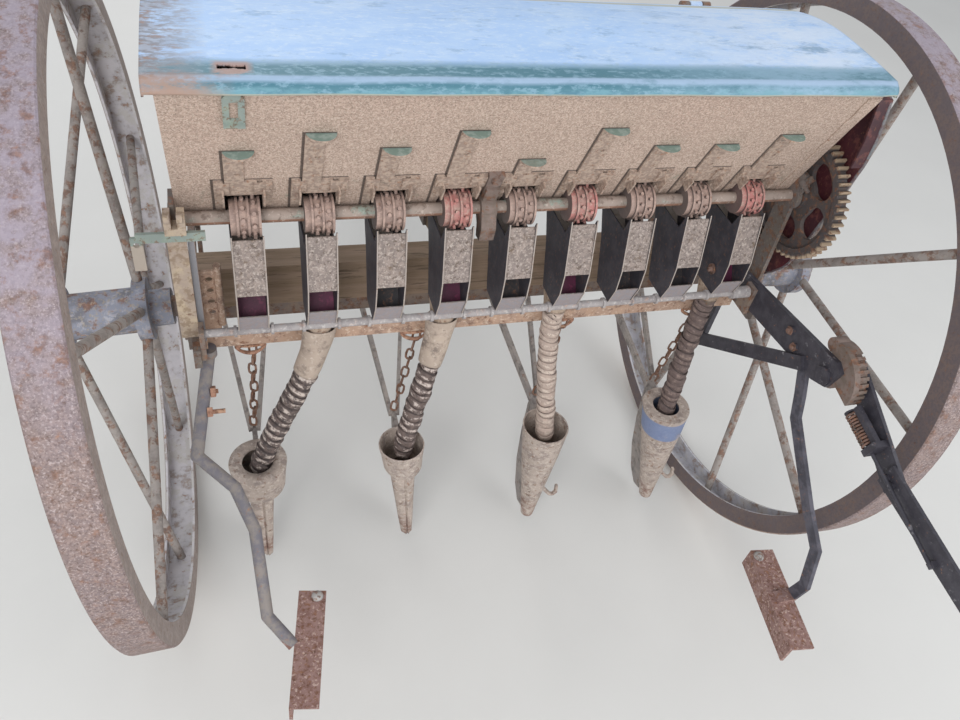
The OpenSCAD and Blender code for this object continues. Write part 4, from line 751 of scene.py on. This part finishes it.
def liftChain(k):
    top = np.array((coulterX[k] + chains["aside"], chains["topY"], chains["top"]))
    foot = leant((coulterX[k], chains["footY"], chains["foot"]), k)
    direction = (foot - top) / np.linalg.norm(foot - top)
    links = []
    for i in range(chains["links"]):
        sway = np.array((0.0016 * math.sin(i * 2.1 + k), 0.0012 * math.cos(i * 1.7 + k), 0))
        links.append(chainLink(top + (foot - top) * ((i + 0.5) / chains["links"]) + sway, direction, i % 2))
    chain = addSolids("lift_chain_%d" % (k + 1), links, finishes["chainRust"], slot="dark_steel")
    bends(chain, top, foot, chains["inset"])


def chainShackle(k):
    a = around(shackles["steps"])
    oval = upright(a, shackles["half"], shackles["rise"], shackles["bow"] * np.cos(a * 2))
    oval += (coulterX[k], chains["topY"], shackles["z"])
    wire = shackles["wire"] * (1 + 0.15 * np.sin(a * 3 + k))
    solids = [closed(rounded(oval, wire, upright(a), (0, 1, 0), shackles["sides"]))]
    for s in (-1, 1):
        leg = np.array([(coulterX[k] + s * shackles["legX"], chains["topY"], z) for z in shackles["legZ"]])
        solids.append(capped(tubePoints(leg, shackles["legWire"], 12)))
    addSolids("chain_shackle_%d" % (k + 1), solids, finishes["shackleRust"], "frame", "dark_steel")


for k in range(4):
    liftChain(k)
    chainShackle(k)
print("chains done")

# sheet lid; lip in Y and Z from the rear edge; each dent has place and half widths in X and Y, and depth
lid = dict(rearY=-0.235708, rearTop=1.15195, crownY=-0.075, hingeY=0.149968, hingeZ=1.12995,
           rise=0.0275, frontDrop=0.0034, frontGap=0.007, bend=0.014, sag=0.18, skirt=0.016, wall=0.0029,
           wave=0.0009, columns=((-0.561, -0.476, 24), (-0.4745, -0.432, 34), (-0.429, 0.561, 240)),
           hinges=(-0.39456, 0.0, 0.39456), notchX=0.022, notchHalf=0.0105, notchY=0.1395,
           slotFrom=-0.470, slotTo=-0.4365, slotY=-0.2005,
           lip=((0, 0.0045), (0, 0.007), (0.0003, 0.0095), (0.002, 0.0130), (0.0055, 0.0170)),
           dents=((-0.42, -0.15, 0.05, 0.03, -0.0014), (-0.2, -0.02, 0.12, 0.05, -0.0018),
                  (0.1, -0.12, 0.07, 0.03, -0.0013), (0.33, -0.02, 0.09, 0.06, -0.0018),
                  (0.46, 0.05, 0.05, 0.04, 0.0009), (0.02, 0.08, 0.15, 0.03, 0.0010),
                  (-0.33, 0.06, 0.08, 0.03, 0.0010), (0.24, -0.19, 0.05, 0.016, 0.0012)),
           knuckle=((0.0041, -0.0119), (0.0078, -0.0119), (0.0080, -0.0112),
                    (0.0080, 0.0112), (0.0078, 0.0119), (0.0041, 0.0119)))


def lidSection():  # from the rear lip over the crown to the hinges, two parabolas that meet at the crown
    crownZ, crownY = lid["rearTop"] + lid["rise"], lid["crownY"]
    frontY, bendY = lid["hingeY"] - lid["frontGap"], lid["rearY"] + lid["bend"]
    front = (crownZ - lid["hingeZ"] - lid["frontDrop"]) / (frontY - crownY) ** 2
    rear = lid["sag"] * lid["rise"] / (bendY - crownY) ** 2
    y = np.concatenate([np.linspace(bendY, -0.2105, 6), np.linspace(-0.2085, -0.1925, 17),
                        np.linspace(-0.190, 0.136, 60), (lid["notchY"], frontY)])
    z = crownZ - np.where(y > crownY, front, rear) * (y - crownY) ** 2
    return np.concatenate([np.array(lid["lip"]) + (lid["rearY"], lid["rearTop"]), np.stack([y, z], 1)])


# a grid of places along X by places along the section, pushed square to it by dents and waves
def lidPoints():
    section = lidSection()
    x = np.concatenate([np.linspace(*stretch) for stretch in lid["columns"]])
    slope = np.gradient(section, axis=0)
    slope /= np.linalg.norm(slope, axis=1, keepdims=True)
    gx, gy = np.meshgrid(x, section[:, 0])
    push = np.zeros_like(gx)
    for cx, cy, wx, wy, depth in lid["dents"]:
        push += depth * np.exp(-((gx - cx) / wx) ** 2 - ((gy - cy) / wy) ** 2)
    inside = fade(0.515 - np.abs(gx), 0.02) * fade(gy + 0.208, 0.02) * fade(0.112 - gy, 0.02)
    push = np.where(push < 0, push * inside, push)
    edge = fade(-0.214 - gy, 0.015) * fade(0.55 - np.abs(gx), 0.02)
    push += lid["wave"] * (1 + np.sin(gx * 26 + 0.6)) * edge
    points = np.stack([gx, section[:, :1] - slope[:, 1:] * push, section[:, 1:] + slope[:, :1] * push], -1)
    # the skirt hangs down at each end in two steps, from nothing at the rear lip
    left = np.repeat(points[:, :1], 2, 1)
    left[..., 2] -= lid["skirt"] * fade(np.arange(len(section)), 4)[:, None] * (1.0, 0.35)
    right = left[:, ::-1] * (-1, 1, 1)
    return np.concatenate([left, points, right], 1)


def lidSheet():  # the grid without its slot and the notches round the hinges; Solidify gives the wall
    points = lidPoints()
    rows, columns = points.shape[:2]
    quads = np.array(ringFaces(rows, columns)).reshape(rows - 1, columns, 4)[:, :-1].reshape(-1, 4)
    points = points.reshape(-1, 3)
    x, y = points[quads].mean(1)[:, :2].T
    share = (x - lid["slotFrom"]) / (lid["slotTo"] - lid["slotFrom"])
    width = 0.0052 - 0.0016 * np.exp(-((share - 0.62) / 0.2) ** 2) + 0.0005 * np.sin(share * 19)
    hole = (share > 0) & (share < 1) & (np.abs(y - lid["slotY"] - 0.0007 * np.sin(share * 5)) < width)
    for hinge in lid["hinges"]:
        hole |= (np.abs(np.abs(x - hinge) - lid["notchX"]) < lid["notchHalf"]) & (y > lid["notchY"])
    used, packed = np.unique(quads[~hole], return_inverse=True)
    solids = [(points[used], packed.reshape(-1, 4).tolist())]
    sheet = addSolids("lid_sheet", solids, lidPaint, slot="lid_paint")
    wall = sheet.modifiers.new("wall", "SOLIDIFY")
    wall.thickness = lid["wall"]
    wall.offset = -1
    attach(sheet, "lid_body")
    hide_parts("lid")


def lidKnuckles():
    radius, along = np.hsplit(np.array(lid["knuckle"]), 2)
    a = around(24)
    y, z = lid["hingeY"] + radius * np.cos(a), lid["hingeZ"] + radius * np.sin(a)
    solids = [closed(np.stack([np.repeat(hinge + along, 24, 1), y, z], -1)) for hinge in lid["hinges"]]
    addSolids("lid_knuckles", solids, lidPaint, "lid_body", "lid_paint")


lidSheet()
lidKnuckles()
print("lid done")

# folded sheet chutes: two side sheets, a front above the window, a sill below it and a back
chutes = dict(half=0.025, wall=0.0022, lap=0.0001, inset=0.0012,
              lip=(-0.1735, 0.8815), kink=(-0.1985, 0.7905),
              sill=(-0.1995, 0.747), foot=(-0.187, 0.7087), rear=(-0.128, 0.7087), back=(-0.096, 0.790),
              neck=(-0.062, 0.850), sideTop=0.8895,
              sideRim=((-0.062, 0.8775), (-0.088, 0.8775), (-0.088, 0.856), (-0.159, 0.856),
                       (-0.1655, 0.874), (-0.1702, 0.8882)))


def prism(outline, low, high):  # a closed outline in Y and Z carried along X
    outline = np.array(outline)
    turn = np.roll(outline, -1, 0)
    if np.sum(outline[:, 0] * turn[:, 1] - turn[:, 0] * outline[:, 1]) < 0:
        outline = outline[::-1]
    n = len(outline)
    points = np.concatenate([np.column_stack([np.full(n, x), outline]) for x in (low, high)])
    faces = [[i, (i + 1) % n, n + (i + 1) % n, n + i] for i in range(n)]
    return points, [list(range(n))[::-1], list(range(n, 2 * n))] + faces


def crosswise(first, last, wall, x):  # a sheet from side to side of the chute at x
    a, b, wall = np.array(first), np.array(last), (wall, 0)
    inner = chutes["half"] - chutes["wall"] + chutes["lap"]
    return prism([a, b, b + wall, a + wall], x - inner, x + inner)


sidePlate = [(chutes["lip"][0], chutes["sideTop"])]
sidePlate += [chutes[corner] for corner in ("kink", "sill", "foot", "rear", "back", "neck")]
sidePlate += chutes["sideRim"]
sides, fronts = [], []
for i, x in enumerate(rowX):
    for s in (-1, 1):
        faceX = (x + s * chutes["half"], x + s * (chutes["half"] - chutes["wall"]))
        sides.append(prism(sidePlate, min(faceX), max(faceX)))
    inset = (chutes["inset"] + 0.0006 * math.sin(i * 2.3), 0)
    for first, last in (("lip", "kink"), ("sill", "foot")):
        ends = np.array((chutes[first], chutes[last])) + inset
        fronts.append(crosswise(*ends, chutes["wall"], x))
    for first, last in (("rear", "back"), ("back", "neck")):
        sides.append(crosswise(chutes[first], chutes[last], -chutes["wall"], x))
plates = addSolids("chute_sides", sides, chuteShadedPaint, "frame", "chute_paint", smooth=False)
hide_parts("chutes")
addSolids("chute_fronts", fronts, chuteFront, "frame", "chute_paint", smooth=False)
print("chutes done")

# sloped plates inside the chutes, seen through their windows
liners = dict(half=0.0224, back=(-0.1300, 0.789), foot=(-0.1795, 0.7165), wall=0.0015, sag=0.0012, steps=9,
              red=(0, 1, 3, 5, 8), dark=(2, 4, 6, 7))
back, foot = np.array(liners["back"]), np.array(liners["foot"])
fall = (foot - back) / np.linalg.norm(foot - back)
across = np.array((-fall[1], fall[0])) * liners["wall"]
u = np.linspace(0, 1, liners["steps"])[:, None]
line = back + (foot - back) * u + liners["sag"] * np.sin(u * np.pi) * (1, 0)
for colour, mat in (("red", finishes["linerRed"]), ("dark", finishes["linerDark"])):
    solids = []
    for i in liners[colour]:
        edges = [np.column_stack([np.full(len(line), rowX[i] + s * liners["half"]), line + side * across])
                 for s, side in ((-1, 0), (1, 0), (1, 1), (-1, 1))]
        solids.append(capped(np.stack(edges, 1), flip=True))
    addSolids("chute_liners_" + colour, solids, mat, "frame", "chute_paint", smooth=False)

# the two left cups are folded from sheet: a cone above, a step, and a narrower leg with an open seam
cups = dict(sides=72, seamSides=24, seam=-1.50, seamHalf=0.30, slit=0.0042, lap=0.0022, tip=0.0455,
            big=(0.056, 0.047), step=0.075, tipCone=0.0135, oval=0.06)


def cupProfile(k, shoulder):  # radius and height up the outside, then down the inside
    top, tip, big = tubes["cupTop"][k], cups["tip"], cups["big"][k]
    outer = [(0.0118, tip), (0.0155, 0.10), (0.0200, 0.18), (0.0245, 0.25), (0.0272, shoulder - 0.010),
             (0.0300, shoulder - 0.004), (big - 0.0088, shoulder), (big - 0.0068, shoulder + 0.006),
             (big - 0.004, top - 0.032), (big - 0.0008, top - 0.003), (big - 0.0016, top - 0.0004)]
    if k == 0:  # the first cup has a rim turned inward
        mouth = [(0.030, top - 0.0004), (0.030, top - 0.0045), (big - 0.0034, top - 0.0050)]
    else:
        mouth = [(big - 0.003, top - 0.0004), (big - 0.003, top - 0.0045), (big - 0.0034, top - 0.006)]
    inner = mouth + [(big - 0.007, top - 0.032), (big - 0.0100, shoulder + 0.006),
                     (big - 0.012, shoulder + 0.001), (0.0268, shoulder - 0.004), (0.0240, shoulder - 0.012),
                     (0.0213, 0.25), (0.0168, 0.18), (0.0123, 0.10), (0.0086, tip)]
    return np.array(outer), np.array(inner)


def finely(line, count):  # even steps along a line that keep its corners
    steps = lengths(line)
    return alongPath(line, np.unique(np.concatenate([np.linspace(0, steps[-1], count), steps])))


def foldedCup(k):
    top, big, seam, half = tubes["cupTop"][k], cups["big"][k], cups["seam"], cups["seamHalf"]
    shoulder = top - cups["step"]
    outer, inner = cupProfile(k, shoulder)
    skin = finely(outer, 60)
    profile = np.concatenate([skin, finely(inner, 40)])
    r, z = np.hsplit(profile, 2)
    angle = np.concatenate([
        np.linspace(seam - half, seam + half, cups["seamSides"], endpoint=False),
        np.linspace(seam + half, seam - half + 2 * np.pi, cups["sides"] - cups["seamSides"], endpoint=False)])
    off = (angle - seam + np.pi) % (2 * np.pi) - np.pi
    leg = fade(shoulder - 0.006 - z, 0.008)
    outside = (np.arange(len(profile)) < len(skin))[:, None]
    r = r - leg * outside * cups["slit"] * np.exp(-(off / 0.075) ** 2)
    r = r + leg * outside * cups["lap"] * (fade(off - 0.12, 0.05) * fade(1.3 - off, 0.4))
    r = r * (1 + 0.02 * np.sin(2 * angle + k) * fade(z - shoulder, 0.06))
    r = r * (1 - cups["oval"] * np.cos(2 * (angle - seam)) * leg)
    ragged = 0.0035 * np.sin(angle * 2 + 1 + k) + 0.002 * np.sin(angle * 5)
    height = z + np.exp(-(z - cups["tip"]) / 0.012) * ragged
    # the leg stands against the shoe, as far forward as the plain cone there is wide
    cone = np.interp(z, (cups["tip"], shoulder, top), (cups["tipCone"], big - 0.007, big))
    forward = leg * (cone - np.interp(z, outer[:5, 1], outer[:5, 0]))
    x, y = coulterX[k] + r * np.cos(angle), tubes["cupY"] + r * np.sin(angle) + forward
    solids = [closed(leant(np.stack([x, y, height], -1), k))]
    cup = addSolids("folded_cup_%d" % (k + 1), solids, cupPaint[k], "coulter_%d" % (k + 1), "cup_paint")
    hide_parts("cup_%d" % (k + 1))


def leantCopy(node, k, mat):  # a copy of the solid's mesh with each point shifted
    name = "%s_%d" % (node, k + 1)
    mesh = nodes[name].data.copy()
    mesh.name = "leant_" + name
    points = np.empty(len(mesh.vertices) * 3, np.float32)
    mesh.vertices.foreach_get("co", points)
    points = leant(points.reshape(-1, 3) - np.array((0, axleY, 0)), k)
    mesh.vertices.foreach_set("co", local(points).astype(np.float32).ravel())
    mesh.update()
    mesh.materials.clear()
    mesh.materials.append(mat)
    piece = bpy.data.objects.new("leant_" + name, mesh)
    bpy.context.collection.objects.link(piece)
    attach(piece, "coulter_%d" % (k + 1))
    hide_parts(name)


foldedCup(0)
foldedCup(1)
for k in range(4):
    leantCopy("fork", k, finishes["forkSteel"])
    if k > 1:
        leantCopy("cup", k, cupPaint[k])
print("cups and liners done")

# bolt heads, each with its washer; shapes are radius and height as shares of the head's own
headShape = ((1.5, 0.0), (1.5, 0.18), (1.42, 0.24), (1.0, 0.24), (1.0, 0.78), (0.86, 0.95), (0.5, 1.02))
domeShape = ((1.0, 0.0), (0.99, 0.2), (0.9, 0.45), (0.68, 0.7), (0.38, 0.86), (0.12, 0.92))
studShape = ((1.0, 0.0), (1.0, 0.8), (0.86, 1.0), (0.8, 0.6), (0.45, 0.6), (0.42, 2.4), (0.3, 2.7))


# rows of place, direction, radius and height
def heads(name, mat, table, shape=headShape, sides=6, slot="dark_steel"):
    solids = [turned(np.array(shape) * (radius, height) * mm, sides, np.array(place) * mm, axis, 0.6 * n)
              for n, (place, axis, radius, height) in enumerate(table)]
    addSolids(name, solids, mat, "frame", slot, smooth=sides > 8)


# in millimetres from the axle line
fasteners = dict(standardX=556.0, railX=548.0, railY=(-15, 218, 242, 319), bracketX=44.8, bracketY=(286, 336),
                 poleTurn=(319, 585.93), poleFall=math.radians(15), poleBolts=(1978, 2068),
                 hingeX=(-394.6, 0, 394.6))
standardX, fall = fasteners["standardX"], fasteners["poleFall"]
bolts = [((-standardX, -130, 650), (-1, 0, 0), 6.5, 6), ((-standardX, -130, 671), (-1, 0, 0), 6.5, 6),
         ((standardX, -139, 650), (1, 0, 0), 6.5, 6), ((standardX, -138, 671), (1, 0, 0), 6.5, 6),
         ((554, -40, 650), (1, 0, 0), 6.5, 6), ((554, -13, 650), (1, 0, 0), 6.5, 6)]
for s in (-1, 1):
    bolts += [((s * fasteners["railX"], y, 656), (s, 0, 0), 8, 7) for y in fasteners["railY"]]
    bolts += [((s * fasteners["bracketX"], y, 600), (s, 0, 0), 9, 8) for y in fasteners["bracketY"]]
    for reach in fasteners["poleBolts"]:
        y = fasteners["poleTurn"][0] + reach * math.cos(fall)
        z = fasteners["poleTurn"][1] - reach * math.sin(fall)
        bolts.append(((s * fasteners["bracketX"], y, z), (s, 0, 0), 9, 8))
    bolts.append(((s * 509, 348.3, 660), (0, 1, 0), 5.5, 5))
heads("frame_bolts", finishes["darkSteel"], bolts)
arm = [((520.7, y, z), (-1, 0, 0), 6.2, 6) for y, z in ((-318, 722.8), (-344, 704.8))]
heads("arm_bolts", finishes["springSteel"], arm)
rivets = [((x + s * 22, 118.2, 1091), (0, 0.848, -0.53), 5, 4) for x in fasteners["hingeX"] for s in (-1, 1)]
heads("hinge_rivets", finishes["darkSteel"], rivets, domeShape, 16)
irons = [((-378, -457, 275), (0, 0, 1), 11, 8), ((517.5, -546, 290), (0, 0, 1), 11, 8)]
heads("iron_bolts", finishes["greyHead"], irons, domeShape, 20, "rust_steel")
# round stud on the last chute's side
heads("chute_stud", finishes["springSteel"], [((423, -161, 751), (-1, 0, 0), 11, 4)], studShape, 24)

# clamp bolts through the left footboard bar, with square nuts
solids = []
for place, reach in (((-533, -200, 580), 17), ((-541, -230, 561), 34)):
    shank, nut = ((4, -6), (4, reach)), ((11.5, 4), (11.5, 12), (10, 13))
    for profile, sides, twist in ((shank, 16, 0.0), (nut, 4, 0.5 + reach)):
        solids.append(turned(np.array(profile) * mm, sides, np.array(place) * mm, (1, 0, 0), twist))
addSolids("clamp_bolts_left", solids, finishes["shackleRust"], "frame", "dark_steel", smooth=False)

# folded strip down the right end of the rear wall; section as shares of its width and its height off the wall
strip = dict(inner=523.5, outer=548.0, proud=2.4, low=6.0, high=292.0, footY=-105, footZ=877.95, steps=40,
             wallTilt=math.radians(23.6), section=((0, 0), (0, 0.8), (0.06, 1), (0.94, 1), (1, 0.8), (1, 0)))
u = np.linspace(0, 1, strip["steps"])[:, None]
height = strip["low"] + (strip["high"] - strip["low"]) * u
across, raised = np.array(strip["section"]).T[:, None]
waver = 0.7 * np.sin(u * 31) + 0.5 * np.sin(u * 53 + 1)
x = strip["inner"] + (strip["outer"] - strip["inner"]) * across + waver * (across < 0.5)
out = strip["proud"] * raised * (1 + 0.12 * np.sin(u * 23))
cosTilt, sinTilt = math.cos(strip["wallTilt"]), math.sin(strip["wallTilt"])
grid = np.stack([x, strip["footY"] - height * sinTilt - out * cosTilt,
                 strip["footZ"] + height * cosTilt - out * sinTilt], -1) * mm
addSolids("hopper_end_strip", [capped(grid, flip=True)], hopperPaint, "frame", "hopper_paint", smooth=False)

# rolled bead round the gear guard, its outline in Y and Z from the seed shaft
bead = dict(x=594.5, shaft=(-130, 896.45), wire=2.9, steps=6,
            outline=((-69, 233.5), (-82, 165), (-84, 129.5), (-83, 112), (-62, -6.5), (-35, -145.5),
                     (10, -206.5), (140, -216.5), (174, -145.5), (178, 113.5), (150, 213.5), (90, 243.5),
                     (-20, 245.5)))
outline = np.array(bead["outline"])[:, None]
share = (np.arange(bead["steps"]) / bead["steps"])[:, None]
dense = (outline + (np.roll(outline, -1, 0) - outline) * share).reshape(-1, 2)
for n in range(2):  # corners rounded off
    dense = (np.roll(dense, 1, 0) + 2 * dense + np.roll(dense, -1, 0)) / 4
path = np.column_stack([np.full(len(dense), bead["x"]), dense + bead["shaft"]]) * mm
tangent = np.roll(path, -1, 0) - np.roll(path, 1, 0)
tangent /= np.linalg.norm(tangent, axis=1, keepdims=True)
ring = rounded(path, bead["wire"] * mm, np.cross(tangent, (1, 0, 0)), (1, 0, 0), 8)
addSolids("guard_bead", [closed(ring, flip=True)], finishes["beadPaint"], "frame", "guard_red")
print("fasteners and trim done")

# floor and light
m = Finish("floorPale", "#d9d8d5", 0.9)
m.spots(("#d2d1ce", 0.5, 3, 0.5, 0.3, 0.6))
corners = np.array(((-9, -9, 0), (9, -9, 0), (9, 9, 0), (-9, 9, 0)))
addMesh("floor", corners, [(0, 1, 2, 3)], m.done(60, 8, 0.05), smooth=False)

world = bpy.data.worlds.new("studio")
world.use_nodes = True
sky = world.node_tree.nodes["Background"].inputs
sky["Color"].default_value = (0.93, 0.96, 1.0, 1)
sky["Strength"].default_value = 0.62
bpy.context.scene.world = world
# place in millimetres from the axle line, size in metres, power in watts
lamps = dict(key=((-1900, -3300, 2700), 2.2, 95), fill=((2600, -2700, 1900), 3.0, 58),
             back=((-600, 3600, 3200), 3.0, 55))
for name, (place, size, power) in lamps.items():
    lamp = bpy.data.lights.new(name, "AREA")
    lamp.size = size
    lamp.energy = power
    obj = bpy.data.objects.new(name, lamp)
    obj.location = at(*place)
    obj.rotation_euler = (at(0, 0, 500) - obj.location).to_track_quat("-Z", "Y").to_euler()
    bpy.context.collection.objects.link(obj)
print("stage done")
